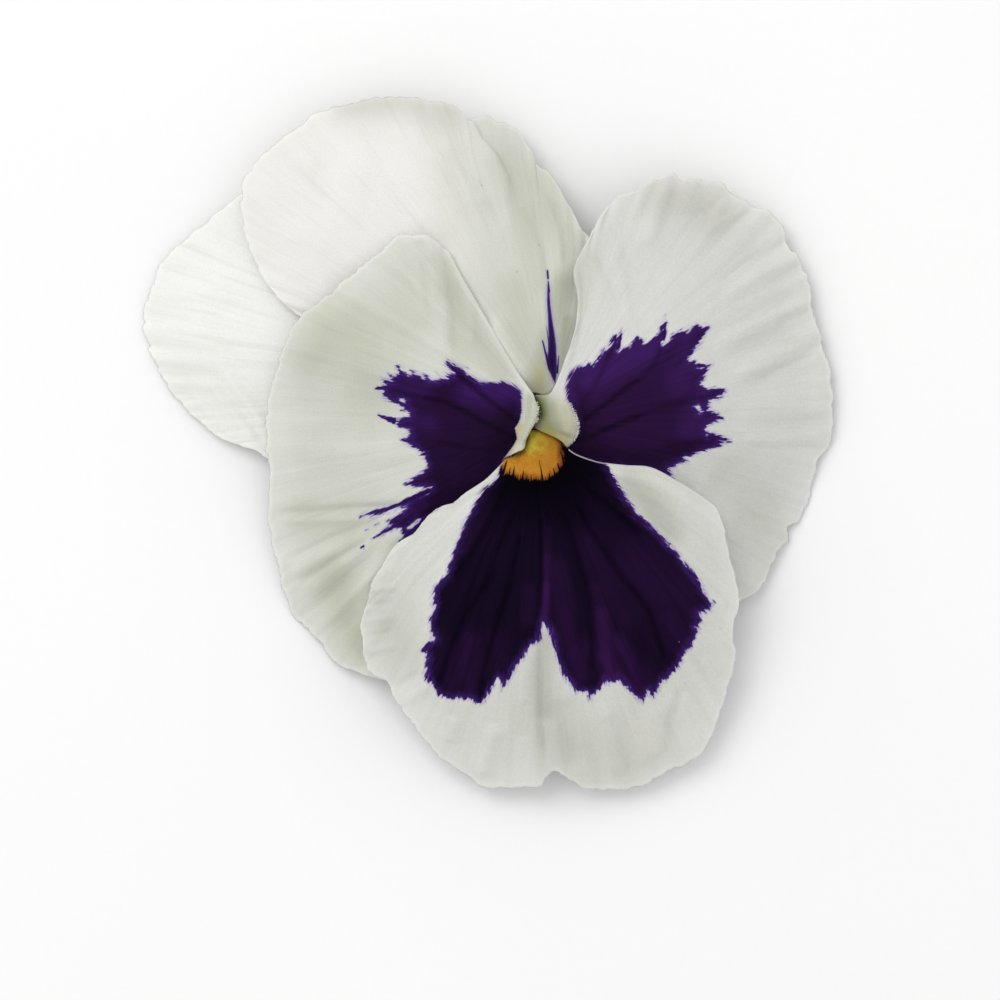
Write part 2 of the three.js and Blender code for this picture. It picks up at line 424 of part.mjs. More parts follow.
// ---------------------------------------------------------------- pistil and stamens
const pistilPath = [[0, 0, 4.15], [0, 0, 4.45], [0, 0, 5.0], [0, 0, 5.6], [0.02, 0, 6.05], [0.1, -0.02, 6.4], [0.3, -0.1, 6.9], [0.52, -0.22, 7.25],
  [0.68, -0.34, 7.6], [0.78, -0.42, 8.0], [0.84, -0.48, 8.4], [0.87, -0.5, 8.62]].map(([x, y, z]) => [CENTRE[0] + x, CENTRE[1] + y, z]);
const pistilRadius = [0.3, 0.5, 0.6, 0.48, 0.27, 0.19, 0.19, 0.32, 0.6, 0.7, 0.52, 0.2];
addPiece('pistil', swept(pistilPath, pistilRadius, pistilRadius, 12, [0, 1, 0]), MATERIALS.pistil);

function stamen(direction, horn) {
  const a = rad(direction), out = [Math.cos(a), Math.sin(a), 0];
  const lean = (z) => STAMEN.ring - 0.05 * z;
  const path = [[0, 0], [0.22, 0], [0.7, 0], [1.3, 0], [1.85, 0], [2.1, -0.03], [2.45, -0.1]].map(([h, d]) => add([CENTRE[0], CENTRE[1], 4.15 + h], mul(out, lean(h) + d)));
  const w = [0.16, 0.36, 0.43, 0.43, 0.36, 0.26, 0.07], t = [0.1, 0.18, 0.22, 0.22, 0.16, 0.08, 0.05];
  const anther = swept(path, w, t, 10, out);
  if (!horn) return anther;
  const from = add([CENTRE[0], CENTRE[1], 5.0], mul(out, STAMEN.ring + 0.02));
  const inSpur = (s, up) => add(MOUTH, add(mul(SPUR_AXIS, s), [horn * 0.27, 0, up]));
  const hornPath = [from, add(from, [horn * -0.12, -0.34, 0.18]), inSpur(0.32, 0.22), inSpur(1.3, 0), inSpur(2.2, 0)];
  const r = [0.11, 0.12, 0.12, 0.12, 0.07];
  return geometryOf(solid(anther).add(solid(swept(hornPath, r, r, 8, [1, 0, 0]))));
}
for (const [name, direction, horn] of [['upper', 90, 0], ['upper_left', 162, 0], ['upper_right', 18, 0], ['lower_left', 234, -1], ['lower_right', 306, 1]]) {
  addPiece(`stamen_${name}`, stamen(direction, horn), MATERIALS.anther);
}

export default flower;
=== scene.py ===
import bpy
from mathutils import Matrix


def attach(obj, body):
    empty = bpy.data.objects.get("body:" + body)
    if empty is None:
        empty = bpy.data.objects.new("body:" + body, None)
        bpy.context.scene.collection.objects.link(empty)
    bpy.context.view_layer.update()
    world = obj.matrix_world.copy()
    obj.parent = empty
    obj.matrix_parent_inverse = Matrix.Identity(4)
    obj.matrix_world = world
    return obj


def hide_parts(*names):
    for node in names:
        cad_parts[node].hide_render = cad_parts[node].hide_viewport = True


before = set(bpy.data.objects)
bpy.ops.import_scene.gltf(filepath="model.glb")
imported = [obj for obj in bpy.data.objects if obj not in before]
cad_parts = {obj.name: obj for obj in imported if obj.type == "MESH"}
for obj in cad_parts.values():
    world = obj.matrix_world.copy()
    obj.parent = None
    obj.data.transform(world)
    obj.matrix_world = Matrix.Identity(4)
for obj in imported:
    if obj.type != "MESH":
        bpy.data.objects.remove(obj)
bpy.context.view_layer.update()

# A picked pansy flower lying face up on a pale table, seen from straight above.
# Lengths are in millimetres until a mesh is made. Drawn points are on a sheet that lies in the
# face plane: tenths of a millimetre, x to the right and y down (SHEET turns them into x, y in mm).
import math
import bpy
import numpy as np

SEED = 11
VIEW_DISTANCE, FACE_HEIGHT, VIEW_AXIS = 600.0, 11.0, (1.15, -5.65)
CENTRE = np.array([4.0, 3.5])
CLAW_RADIUS, CLAW_BASE = 1.9, 4.25


def SHEET(pts):
    p = np.array(pts, float)
    return np.stack([(p[..., 0] - 488.5) / 10, (443.5 - p[..., 1]) / 10], -1)


# ------------------------------------------------------------------ petal outlines and heights
# lip = where the claw turns over at the throat; sideA, sideB = side margins from the lip out;
# rim = outer margin; height = points (x, y, z) that the petal passes.
PETALS = {
    "lower": {
        "lip": [(7.75, -0.3), (6.65, -1.85), (4.95, -2.75), (3.05, -2.6), (1.64, -1.62)],
        "sideA": [(7.75, -0.3), (8.6, -0.95), (9.65, -1.4), (11.15, -1.85), (13.65, -2.15), (16.15, -2.35), (18.45, -3.45),
            (20.85, -4.85), (22.75, -6.25)],
        "rim": [(22.75, -6.25), (23.55, -8.45), (23.95, -10.65), (24.65, -13.35), (25.05, -15.75),
            (24.35, -19.25), (24.75, -21.05), (23.75, -25.05), (22.35, -29.15), (21.05, -31.25),
            (17.25, -33.15), (15.45, -34.25), (11.95, -34.65), (9.25, -34.35), (8.15, -33.65), (7.35, -33),
            (6.35, -32.95), (5.65, -33.45), (5.25, -34.25), (3.15, -34.4), (1.25, -34.45), (-0.95, -34.25),
            (-1.75, -33.35), (-3.35, -32.45), (-5.25, -30.95), (-6.55, -29.35), (-8.15, -27.25),
            (-9.45, -25.35), (-10.15, -23.85), (-11.25, -23.25), (-12.15, -22.45), (-12.55, -20.25),
            (-12.75, -17.85), (-12.05, -15.75), (-11.75, -14.15), (-10.85, -12.55), (-9.45, -10.35),
            (-8.45, -9.55)],
        "sideB": [(1.64, -1.62), (0.7, -2.62), (-0.35, -3.65), (-1.95, -4.75), (-3.35, -5.85), (-4.65, -6.25),
            (-5.55, -6.95), (-6.65, -8.45), (-8.45, -9.55)],
        "height": [(7.5, -0.25, 11.15), (6.45, -1.95, 11.4), (4.85, -2.75, 11.5), (3.05, -2.65, 11.4),
            (1.64, -1.62, 10.9), (5.65, -7.65, 12.5), (5.65, -15.65, 11.8), (5.35, -23.65, 9),
            (6.35, -32.95, 4.2), (-1.85, -5.65, 11.5), (-4.65, -6.35, 10.9), (-8.45, -9.65, 9.2),
            (-11.75, -14.65, 7.2), (-12.45, -20.65, 5.2), (-9.45, -25.35, 4.3), (-5.25, -30.95, 3.2),
            (1.25, -34.45, 2.6), (-2.85, -15.65, 10.1), (-5.85, -23.65, 6.9), (1.15, -11.65, 11.7),
            (10.15, -10.65, 11.9), (11.15, -1.95, 11.8), (16.15, -2.45, 11.2), (18.45, -3.55, 10.7),
            (22.75, -6.25, 8.9), (24.05, -10.85, 7.3), (25.05, -15.75, 5.8), (24.75, -21.05, 4.5),
            (22.35, -29.15, 3), (17.25, -33.15, 2.4), (11.95, -34.65, 2.4), (15.15, -11.65, 10.7),
            (19.15, -19.65, 7.8), (14.15, -26.65, 6)],
    },
    "lateral_left": {
        "lip": [(4.45, 5.0), (4.5, 3.75), (4.2, 2.35), (3.75, 0.95), (3.0, -0.8)],
        "sideA": [(4.45, 5.0), (2.7, 7.5), (0.35, 11.55), (-2.55, 16.55), (-3.75, 18.95)],
        "rim": [(-3.75, 18.95), (-5.55, 20.35), (-7.55, 20.95), (-9.35, 20.55), (-10.75, 19.25),
            (-13.75, 16.85), (-16.05, 14.85), (-19.05, 12.45), (-20.45, 9.85), (-21.25, 7.15), (-21.95, 4.85),
            (-22.25, 1.65), (-22.05, -1.55), (-21.85, -3.45), (-22.05, -6.15), (-21.85, -9.15),
            (-21.25, -11.45), (-20.55, -14.45), (-19.75, -16.75), (-18.25, -18.55), (-16.85, -19.75),
            (-15.95, -21.35), (-14.35, -22.45), (-12.95, -22.95), (-10.45, -23.65), (-8.85, -23.55),
            (-7.65, -22.45)],
        "sideB": [(3.0, -0.8), (2.24, -1.13), (1.45, -1.4), (0.88, -2.55), (-0.05, -4.85), (-2.05, -9.65), (-4.85, -16.65),
            (-7.65, -22.45)],
        "height": [(4.15, 4.95, 11), (3.65, 2.35, 11.3), (2.65, 7.45, 10.28), (-2.55, 16.55, 8.18),
            (-5.55, 20.35, 7.2), (-10.75, 19.25, 6.6), (-19.05, 12.45, 5.4), (-22.25, 1.65, 3.6),
            (-22.05, -6.15, 2.3), (-20.55, -14.45, 1), (-18.25, -18.55, 0.55), (-15.95, -21.35, 0.9),
            (-10.45, -23.65, 2.6), (-0.85, 4.35, 10.9), (-4.85, 0.35, 10.8), (-8.85, 9.35, 9.6),
            (-13.85, 4.35, 8.7), (-14.85, -3.65, 7.4), (-6.85, -5.65, 9.7), (-13.85, -13.65, 4.9),
            (-5.85, -11.65, 8.1), (3.0, -0.8, 11.4), (1.5, -1.45, 10.45), (0.9, -2.6, 9.8), (-0.85, -7.65, 9.6),
            (-4.85, -16.65, 6.2), (-7.65, -22.45, 3.4)],
    },
    "lateral_right": {
        "lip": [(6.35, 5.25), (7.35, 4.05), (7.85, 2.55), (7.85, 1.15), (7.55, -0.05)],
        "sideA": [(6.35, 5.25), (6.75, 6.05), (7.55, 7.95), (8.55, 10.75), (8.95, 13.75), (8.85, 14.95),
            (8.45, 16.75), (8.75, 18.25)],
        "rim": [(8.75, 18.25), (10.05, 20.55), (11.05, 22.45), (12.75, 24.55), (15.15, 25.45), (15.95, 26.05),
            (17.15, 26.45), (18.35, 27.05), (19.25, 26.45), (21.25, 26.35), (23.05, 26.15), (24.25, 25.15),
            (26.25, 23.85), (28.35, 23.05), (29.25, 21.95), (30.05, 19.85), (31.25, 18.05), (32.25, 15.45),
            (32.25, 13.95), (32.85, 11.95), (33.45, 9.55), (34.15, 7.55), (34.45, 2.85), (34.15, 0.15),
            (32.75, -2.15), (32.45, -3.95), (31.25, -7.45), (30.05, -8.35), (29.95, -9.45), (28.35, -11.85),
            (27.75, -13.65), (26.85, -14.75), (25.35, -15.65), (23.15, -16.25), (20.55, -15.65),
            (17.95, -13.85)],
        "sideB": [(7.55, -0.05), (9.35, -2.65), (11.75, -6.15), (14.75, -10.15), (17.95, -13.85)],
        "height": [(6.35, 5.25, 10.8), (7.85, 2.55, 11.6), (7.55, -0.05, 10.35), (7.55, 7.95, 10.4),
            (8.95, 14.35, 9), (8.75, 18.25, 7.9), (12.75, 24.55, 5.6), (18.35, 27.05, 4.2),
            (24.25, 25.15, 3.2), (30.05, 19.85, 2.2), (32.85, 11.95, 1.7), (34.45, 2.85, 1.2),
            (32.75, -2.15, 0.85), (30.05, -8.35, 0.95), (26.85, -14.75, 1.6), (23.35, -15.95, 3),
            (11.15, 0.35, 10.5), (15.15, 4.35, 10.7), (13.15, 10.35, 10.3), (20.15, 4.35, 9.6),
            (19.15, 14.35, 8.2), (27.15, 6.35, 5.6), (26.15, 14.35, 5.4), (25.15, -2.65, 6),
            (21.15, -7.65, 7.4), (14.75, -10.15, 9.2), (11.15, -5.45, 10), (17.95, -13.85, 7)],
    },
    "upper_right": {
        "lip": [(4.95, 5.0), (5.35, 5.05), (5.8, 5.2), (6.25, 5.5), (6.75, 6.0)],
        "sideA": [(4.95, 5.0), (1.65, 5.55), (-3.85, 6.75), (-9.85, 8.95), (-15.35, 10.85)],
        "rim": [(-15.35, 10.85), (-19.35, 13.05), (-21.95, 15.65), (-23.15, 17.75), (-24.45, 21.25),
            (-24.75, 24.95), (-24.45, 26.25), (-23.85, 27.45), (-21.65, 29.75), (-19.05, 31.65),
            (-17.25, 33.05), (-14.35, 33.85), (-11.35, 34.55), (-8.45, 34.65), (-5.55, 34.25), (-4.45, 33.93),
            (-4.08, 33.79), (-3.8, 33.68), (-3.47, 33.27), (-3.15, 32.75), (-2.8, 32.13), (-2.2, 32.0), (-1.4, 32.35), (-0.92, 32.76), (-0.5, 32.84),
            (-0.11, 32.87), (0.33, 32.66), (0.93, 32.18), (1.86, 32.1), (2.36, 31.65), (2.95, 31.25), (4.35, 29.15), (4.75, 28.05), (6.25, 26.85), (7.35, 25.05), (8.15, 23.65),
            (9.15, 21.85), (9.95, 20.65), (11.15, 18.75), (12.35, 16.35)],
        "sideB": [(6.75, 6.0), (8.85, 8.35), (10.95, 10.15), (12.35, 13.15), (12.35, 16.35)],
        "height": [(1.65, 5.55, 8.3), (-3.85, 7.05, 7.5), (-9.85, 8.95, 6.2), (-15.35, 10.85, 4.8),
            (-19.35, 13.05, 4.3), (-23.15, 17.75, 3.7), (-24.75, 24.95, 3.2), (-21.65, 29.75, 3.1),
            (-14.35, 33.85, 3.2), (-8.45, 34.65, 3.3), (-3.75, 33.85, 3.6), (-0.25, 32.75, 3.2),
            (2.95, 31.25, 3.2), (6.25, 26.85, 3.6), (9.95, 20.65, 5.2), (12.35, 15.35, 6.4),
            (5.65, 10.35, 8.4), (5.65, 16.35, 7.4), (1.15, 14.35, 7.2), (-3.85, 22.35, 6), (-8.85, 28.35, 4.9),
            (-15.85, 22.35, 4.9), (-8.85, 16.35, 5.9), (10.15, 10.35, 8), (-15.85, 29.35, 4),
            (4.95, 5.0, 9.15), (5.8, 5.2, 9.15), (6.75, 6.0, 9.15)],
    },
    "upper_left": {
        "lip": [(3.75, 5.95), (3.25, 5.85), (2.75, 5.65), (2.25, 5.35), (1.85, 4.95)],
        "sideA": [(3.75, 5.95), (3.15, 9.35), (-1.85, 15.35), (-7.85, 19.85), (-13.85, 23.85)],
        "rim": [(-13.85, 23.85), (-17.85, 25.65), (-21.65, 26.15), (-24.75, 24.95), (-26.35, 23.75),
            (-28.95, 21.55), (-31.35, 19.55), (-32.95, 17.75), (-33.55, 15.95), (-34.55, 13.05),
            (-34.25, 10.45), (-33.35, 8.05), (-31.95, 5.45), (-30.45, 3.65), (-28.65, 1.95), (-26.65, 0.45),
            (-23.75, -0.55), (-22.05, -1.45), (-18.85, -2.45), (-14.85, -3.05), (-11.35, -3.05)],
        "sideB": [(1.85, 4.95), (-0.35, 2.55), (-3.35, -0.45), (-7.65, -1.85), (-11.35, -3.05)],
        "height": [(-1.85, 15.35, 5.6), (-13.85, 23.85, 3.5), (-21.65, 26.15, 2.1), (-24.75, 24.95, 2),
            (-28.95, 21.55, 1.3), (-32.95, 17.75, 0.8), (-34.55, 13.05, 0.5), (-33.35, 8.05, 0.55),
            (-30.45, 3.65, 0.8), (-26.65, 0.45, 1.3), (-22.05, -1.45, 2), (-14.85, -3.05, 3.6),
            (-11.35, -3.05, 4.6), (-3.85, -0.45, 6), (-22.85, 14.35, 2.6), (-26.85, 10.35, 2),
            (-18.85, 6.35, 3.3), (-8.85, 9.35, 5.2), (-14.85, 16.35, 3.6), (3.75, 5.75, 6.9),
            (1.85, 4.85, 6.7), (2.75, 5.55, 6.9), (-0.85, 7.35, 6.4)],
    },
}
CLAWS = {"lateral_left": (146, 214, .35), "lateral_right": (45, -35, .05), "upper_right": (94, 65, .1), "upper_left": (107, 134, .1)}

# ------------------------------------------------------------------ markings, tints, painted light and painted shade, drawn on the sheet
BLOTCH = {
    "lower": [(562, 438), (575, 444), (592, 453), (604, 461), (611, 472), (624, 494), (637, 512), (664, 539), (686, 563), (699, 582), (712, 603),
              (710, 610), (697, 613), (702, 619), (697, 626), (698, 632), (693, 640), (690, 645), (683, 655), (678, 666), (671, 674), (663, 680), (657, 690), (653, 697), (648, 690),
              (643, 703), (633, 694), (627, 688), (617, 679), (611, 683), (606, 679), (602, 689), (596, 692), (589, 699), (586, 692), (576, 691), (562, 673),
              (554, 646), (549, 630), (544, 622), (541, 641), (531, 644), (525, 654), (514, 670), (503, 686), (499, 678),
              (490, 692), (482, 704), (474, 700), (458, 698), (444, 698), (436, 690), (426, 678), (428, 654), (423, 649),
              (434, 638), (430, 619), (434, 606), (434, 586), (447, 574), (455, 547), (466, 520), (473, 508), (478, 498), (484, 488),
              (492, 483), (498, 477), (500, 468), (499, 459), (512, 436)],
    "lateral_left": [(522, 398), (521, 391), (515, 386), (502, 381), (498, 383), (483, 382), (474, 379), (462, 368), (446, 363),
                     (454, 375), (444, 374), (447, 378), (442, 378), (436, 372), (439, 379), (431, 379), (424, 374), (425, 379), (418, 375), (411, 371), (412, 377), (405, 374), (398, 366), (399, 374), (391, 376), (393, 381), (383, 380),
                     (385, 385), (378, 388), (383, 391), (385, 397), (392, 402), (401, 409), (410, 411), (410, 415), (396, 420),
                     (400, 427), (410, 431), (411, 436), (401, 439), (414, 448), (423, 455), (428, 466), (419, 474), (405, 484),
                     (422, 487), (431, 488), (421, 495), (400, 503), (362, 516), (371, 517), (387, 511), (410, 507), (396, 517), (387, 522),
                     (392, 524), (383, 532), (373, 539), (395, 527), (401, 528), (404, 535), (401, 541), (412, 537), (423, 529), (440, 520),
                     (470, 506), (500, 480), (503, 460), (511, 450), (517, 439), (515.5, 428), (520.5, 420), (522, 410)],
    "lateral_right": [(568, 376), (574, 369), (579, 366), (585, 367), (588, 363), (593, 365), (598, 359), (602, 351), (608, 348), (613, 336), (618, 336), (622, 329), (618, 344), (616, 351), (624, 348), (629, 347),
                      (633, 342), (637, 338), (643, 342), (651, 341), (656, 337), (660, 329), (666, 318), (664, 335), (662, 345), (668, 342), (672, 335), (679, 332), (686, 331), (691, 328), (697, 323),
                      (701, 327), (709, 326), (703, 338), (694, 348), (690, 355), (689, 362), (695, 361), (698, 368), (710, 366), (703, 378), (701, 386), (706, 390), (726, 390),
                      (720, 397), (709, 401), (709, 409), (721, 417), (710, 424), (705, 428), (710, 433), (719, 436), (731, 440), (717, 446),
                      (697, 454), (684, 458), (688, 463), (676, 465), (668, 469), (673, 479), (661, 475), (647, 471), (630, 470),
                      (605, 468), (585, 464), (564, 454), (562, 448.5), (568, 446.5), (574, 440.5), (577.5, 432), (577.5, 421), (574, 413), (569.5, 405), (567, 398), (566, 388)],
    "upper_right": [(547.2, 284), (548.9, 284), (550.2, 300), (552.2, 319), (555, 335), (556.4, 346), (556.9, 358), (557.2, 368),
                    (556.6, 377), (555.2, 384), (552.3, 379), (549.3, 372.5), (546.2, 364), (547.6, 352), (548.4, 340), (547.8, 319), (546.9, 301)],
}
# strokes beside the blotches: (x0, y0, x1, y1, half width at each end)
BLOTCH_STROKES = {
    "lateral_left": [(364, 546, 366, 545.5, 1.3, 1.3), (366, 529.5, 369, 528.5, 1.0, .8), (375, 525, 379, 523, .9, .9), (397, 366, 400, 366, .9, 1.2),
                     (377, 388, 392, 389, 1.0, 3.2), (379, 415, 394, 421, 1.2, 2.8), (398, 366, 402, 376, .8, 2.2), (390, 377, 402, 385, 1.0, 3.4), (361, 516.5, 392, 508, 1.1, 2.1), (390, 508.5, 428, 491, 2.1, 3.4),
                     (372, 539, 398, 524, 1.0, 2.2), (386, 521, 412, 511, .9, 2.4), (398, 524, 425, 508, 2.2, 3.6), (400, 541, 420, 530, 1.0, 2.6), (402, 485, 424, 479, 1.0, 3.0),
                     (400, 439.5, 412, 442, .9, 2.4), (388, 374, 402, 382, .9, 3.0), (384, 382, 398, 388, .8, 2.8), (447, 362, 458, 374, .8, 2.8), (405, 381, 424, 384, 3, 5)],
    "upper_right": [(547.5, 270.5, 548.1, 278.5, 1.15, 1.2), (548.2, 281.5, 548.9, 292, .8, 1.3), (542.6, 341, 549.5, 369, .7, 1.7), (558.7, 356, 557.2, 373, .5, 1.2),
                    (516.8, 271.5, 517.2, 272.5, .3, .3), (538.8, 244.5, 539.2, 245.5, .25, .25), (546.5, 326, 550, 352, .3, 1.0)],
    "lateral_right": [(708, 326, 700, 334, .7, 2.4), (666, 319, 663, 340, .7, 2.4), (622, 329, 618, 348, .7, 2.4),
                      (725, 390, 706, 393, .9, 3.0), (722, 418, 706, 415, .8, 2.6), (731, 440, 708, 438, .9, 3.0), (673, 478, 660, 470, .8, 2.2), (713, 365, 698, 366, .8, 2.6), (598, 357, 600, 368, .8, 2.4)],
    "lower": [(712, 599, 714, 602, .6, .9), (588, 694, 588.5, 699, 1.2, .6), (503, 684, 501, 692, 1.0, .5), (427, 645, 424, 650, .8, .8), (588.5, 698, 590, 687, .9, 2.4),
              (643, 702, 641, 690, .8, 2.2), (653, 697, 652, 688, .6, 1.8), (482, 703, 484, 690, .8, 2.4), (427, 678, 438, 672, .8, 2.4)],
}
# white slits inside a blotch
BLOTCH_HOLES = {
    "lateral_left": [(419, 520, 409, 528.5, 1.0, .5), (402, 400, 405, 402, .6, .4)],
    "lateral_right": [(697, 407, 699, 411, 1.1, .8), (706, 431, 706.5, 435, .6, .4)],
}
THROAT = [(499, 461), (502, 449), (511, 437), (526, 426), (541, 424), (555, 432), (562, 441), (563, 452), (564, 464), (561, 468), (556, 474), (549, 478),
          (543, 482), (537, 479), (531, 481), (525, 478), (519, 480), (513, 476), (508, 474), (504, 475)]
# dark teeth that cut into the throat colour
TEETH = [(539, 460, 541.5, 472, .25, .6), (541.5, 472, 543.5, 486, .6, 1.3), (507, 461, 503, 474, .5, 1.4), (514.5, 466, 512.5, 484, .4, 1.6), (523.5, 471, 522, 486, .3, 1.5),
         (557.5, 463, 561, 474, .4, 1.5), (531, 474, 531.5, 486, .3, 1.0), (549, 473, 551, 484, .3, 1.4), (527, 475, 526.5, 484, .2, .8), (518.5, 473, 517, 484, .2, 1.0),
         (536, 476, 536.5, 486, .2, .8), (545.5, 477, 547, 486, .2, 1.0), (561.5, 452, 564.5, 468, .4, 1.3), (533.5, 452.5, 533, 455, .25, .3), (510.5, 467, 508.5, 480, .25, 1.0), (521, 474, 520, 484, .2, .9),
         (533.7, 477, 534, 486, .15, .9), (553.3, 468, 556, 480, .3, 1.2), (541, 476, 540.5, 486, .2, .8), (502.5, 466, 500, 476, .3, 1.2), (529, 478, 528.7, 486, .2, .9)]

# soft tints, some of them painted shade: (strength, half width in mm, points)
# green tint: the tissue's own green near the throat, and painted shade in the throat's recesses, on the upper right
# petal's folded-back flap and on slopes turned from the light
GREEN_AND_SHADE = {
    "lateral_left": [(.30, 2.4, [(335, 575), (350, 610), (365, 645)]), (.22, 2.6, [(310, 520), (350, 530)]), (.16, 1.2, [(447, 262), (455, 300), (458, 357)]),
                     (.42, .6, [(530, 400), (529, 415), (523, 440)]), (.2, 3.0, [(330, 320), (400, 330)])],
    "lateral_right": [(.95, 1.0, [(539, 400), (542, 411), (545, 423), (549, 431)]), (.5, 1.0, [(552, 408), (556, 420), (560, 432)]), (.34, 1.0, [(567, 410), (571, 424), (567, 438)]), (.12, 3.0, [(735, 480), (770, 540)]), (.2, 1.6, [(575, 300), (580, 260)])],
    "upper_right": [(.5, 1.5, [(530, 395), (543, 362), (549, 340)]), (.25, 2.6, [(525, 350), (515, 290)]), (.25, 2.0, [(560, 330), (565, 280)]), (.15, 2.4, [(520, 200), (500, 170)]), (.17, 2.6, [(545, 185), (552, 215), (562, 245)]), (.22, 2.2, [(527, 215), (535, 250), (538, 285)]), (.1, 3.4, [(440, 150), (475, 220), (500, 280)])],
    "lower": [(.2, 3.0, [(380, 600), (400, 650)]), (.16, 3.2, [(560, 740), (600, 755), (635, 750)])],
    "upper_left": [(.12, 4.0, [(240, 400), (200, 380)])],
}
YELLOW = {
    "lateral_left": [(.6, .42, [(520, 426), (518, 434), (513, 447), (508, 457)])],
    "lateral_right": [(.6, .6, [(545, 433), (556, 439), (566, 443)]), (.22, 1.0, [(566, 406), (570, 420), (567, 434)])],
    "upper_right": [(.24, .9, [(540, 390), (541, 374)])],
    "lower": [(.0, 1.0, [(0, 0), (1, 1)])],
    "upper_left": [(.2, 1.0, [(530, 385), (520, 390)])],
}
VIOLET = {
    "lower": [(.22, .45, [(548, 530), (547.5, 560)]), (.45, .45, [(547.5, 556), (547, 580)]), (.8, .45, [(546.5, 584), (545.5, 604), (544, 622)]), (.3, 1.2, [(555, 570), (565, 610), (568, 640)]), (.3, 1.0, [(598, 588), (601, 610)]), (.6, .9, [(601, 612), (604, 632), (606, 655)]), (.8, 1.0, [(605, 655), (612, 672), (620, 680)]),
              (.5, .9, [(618, 640), (630, 665), (640, 690)]), (.27, 3.6, [(640, 570), (665, 590), (690, 600)]), (.3, 2.2, [(670, 620), (680, 640)]), (.4, 1.0, [(574, 650), (580, 675)]),
              (.3, 1.1, [(470, 640), (463, 665), (470, 690)]), (.15, 1.2, [(495, 640), (500, 665)]), (.18, 1.0, [(490, 500), (475, 525), (462, 550)]), (.2, .7, [(530, 590), (527, 620)]), (.2, 1.4, [(590, 540), (605, 580), (625, 620)]), (.3, 1.8, [(590, 650), (618, 662), (642, 684)]), (.22, 1.6, [(446, 650), (450, 680), (478, 664)])],
    "lateral_left": [(1.0, 1.3, [(512, 392), (492, 396), (470, 392)]), (.7, 1.2, [(395, 386), (420, 390)]), (.6, 1.0, [(405, 420), (430, 424)]), (.8, .9, [(420, 500), (400, 510)])],
    "lateral_right": [(1.0, 1.5, [(590, 380), (620, 365), (650, 350)]), (.8, 1.6, [(690, 345), (680, 380)]), (.6, 1.4, [(700, 400), (690, 430)]), (.7, .6, [(568, 385), (574, 400)])],
    "upper_right": [(.6, .6, [(549, 300), (550, 340)])],
}
# painted shade: a grey laid over the colour where shade falls, in creases, under and beside neighbouring petals, beside
# the streak, along the upper right petal's top margin and on slopes turned from the light
SHADE = {
    "lateral_left": [(.35, 3.4, [(315, 365), (345, 370), (372, 385)]), (.28, 1.6, [(458, 290), (470, 320), (488, 352), (500, 372)])],
    "lateral_right": [(.06, 3.2, [(720, 470), (770, 520), (760, 580)]), (.9, 1.3, [(543, 408), (547, 420), (552, 430)]), (.35, 2.4, [(660, 195), (690, 200), (720, 215)])],
    "upper_right": [(.55, .7, [(562, 372), (564, 345), (566, 320)]), (.4, 1.2, [(557, 320), (562, 285)]), (.2, 2.6, [(492, 124), (515, 150), (532, 182), (552, 215)]), (.45, 2.2, [(350, 104), (400, 102), (440, 112)]), (.3, .7, [(532, 396), (544, 396)])],
    "lower": [(.10, 1.4, [(568, 705), (576, 740), (578, 775)]), (.5, 1.6, [(628, 484), (648, 502), (668, 530)]), (.5, 1.3, [(545, 640), (542, 672), (543, 710)]), (.2, 1.6, [(540, 715), (548, 760)])],
    "upper_left": [],
}

# dark veins inside the blotches
DUSK = {
    "lower": [(.6, .42, [(507, 480), (498, 505), (485, 530), (470, 555), (455, 573)]), (.4, .3, [(514, 512), (506, 530), (499, 548)]), (.6, .42, [(493, 572), (482, 590), (470, 608), (458, 630), (448, 652), (441, 680)]),
              (.6, .36, [(520, 538), (514, 565), (508, 590), (500, 615), (492, 640), (484, 668), (480, 694)]), (.45, .25, [(541.5, 520), (541, 560), (540, 605)]),
              (.6, .36, [(562, 512), (570, 532), (576, 556), (582, 580), (590, 605), (591, 635), (592, 665)]), (.6, .4, [(578, 508), (590, 530), (605, 552), (620, 575), (635, 592), (648, 610), (656, 632), (664, 655)]),
              (.55, .45, [(570, 474), (587, 485), (605, 502), (620, 516), (634, 530)]), (.4, .4, [(566, 456), (580, 468), (592, 476)]), (.25, .4, [(620, 655), (630, 675), (637, 690)])],
    "lateral_left": [(.7, .3, [(518, 422), (505, 412), (490, 401), (474, 388), (458, 374), (449, 366)]), (.75, .3, [(514, 437), (500, 430), (480, 420), (462, 409), (445, 402), (425, 398)]), (.4, .35, [(425, 398), (408, 394), (394, 390)]),
                     (.5, .3, [(506, 452), (485, 449), (460, 446), (440, 442)]), (.35, 1.2, [(440, 480), (450, 490), (470, 486)]), (.5, .9, [(412, 504), (425, 500), (440, 494)]), (.3, .9, [(465, 462), (480, 457), (492, 450)]), (.35, .5, [(430, 508), (415, 515), (400, 524)])],
    "lateral_right": [(.35, .35, [(583, 400), (592, 390), (601, 374), (611, 352), (619, 334)]), (.7, .32, [(584, 420), (600, 408), (616, 396), (630, 385), (638, 380)]), (.35, .32, [(638, 380), (652, 368), (660, 352), (664, 330)]),
                      (.85, .32, [(574, 441), (590, 436), (606, 429), (622, 422), (638, 416)]), (.45, .36, [(638, 416), (655, 409), (675, 404), (700, 398), (720, 392)]), (.6, .4, [(668, 447), (690, 443), (712, 440), (726, 440)]),
                      (.45, 1.1, [(600, 452), (630, 455), (662, 456), (690, 449)]), (.3, .35, [(675, 366), (690, 352), (702, 332)])],
}

# painted light: paler bands that lift the shadow cast by the left lateral petal's right margin, on the upper right
# petal beside it and along that margin: (strength, half width in mm, points)
PAINTED_LIGHT = {
    "upper_right": [(.42, .8, [(448, 256), (462, 279), (481, 311), (501, 345), (516, 369), (530, 391)])],
    "lateral_left": [(.22, .45, [(447, 252), (460, 276), (479, 308), (499, 342), (514, 366), (528, 388)])],
}

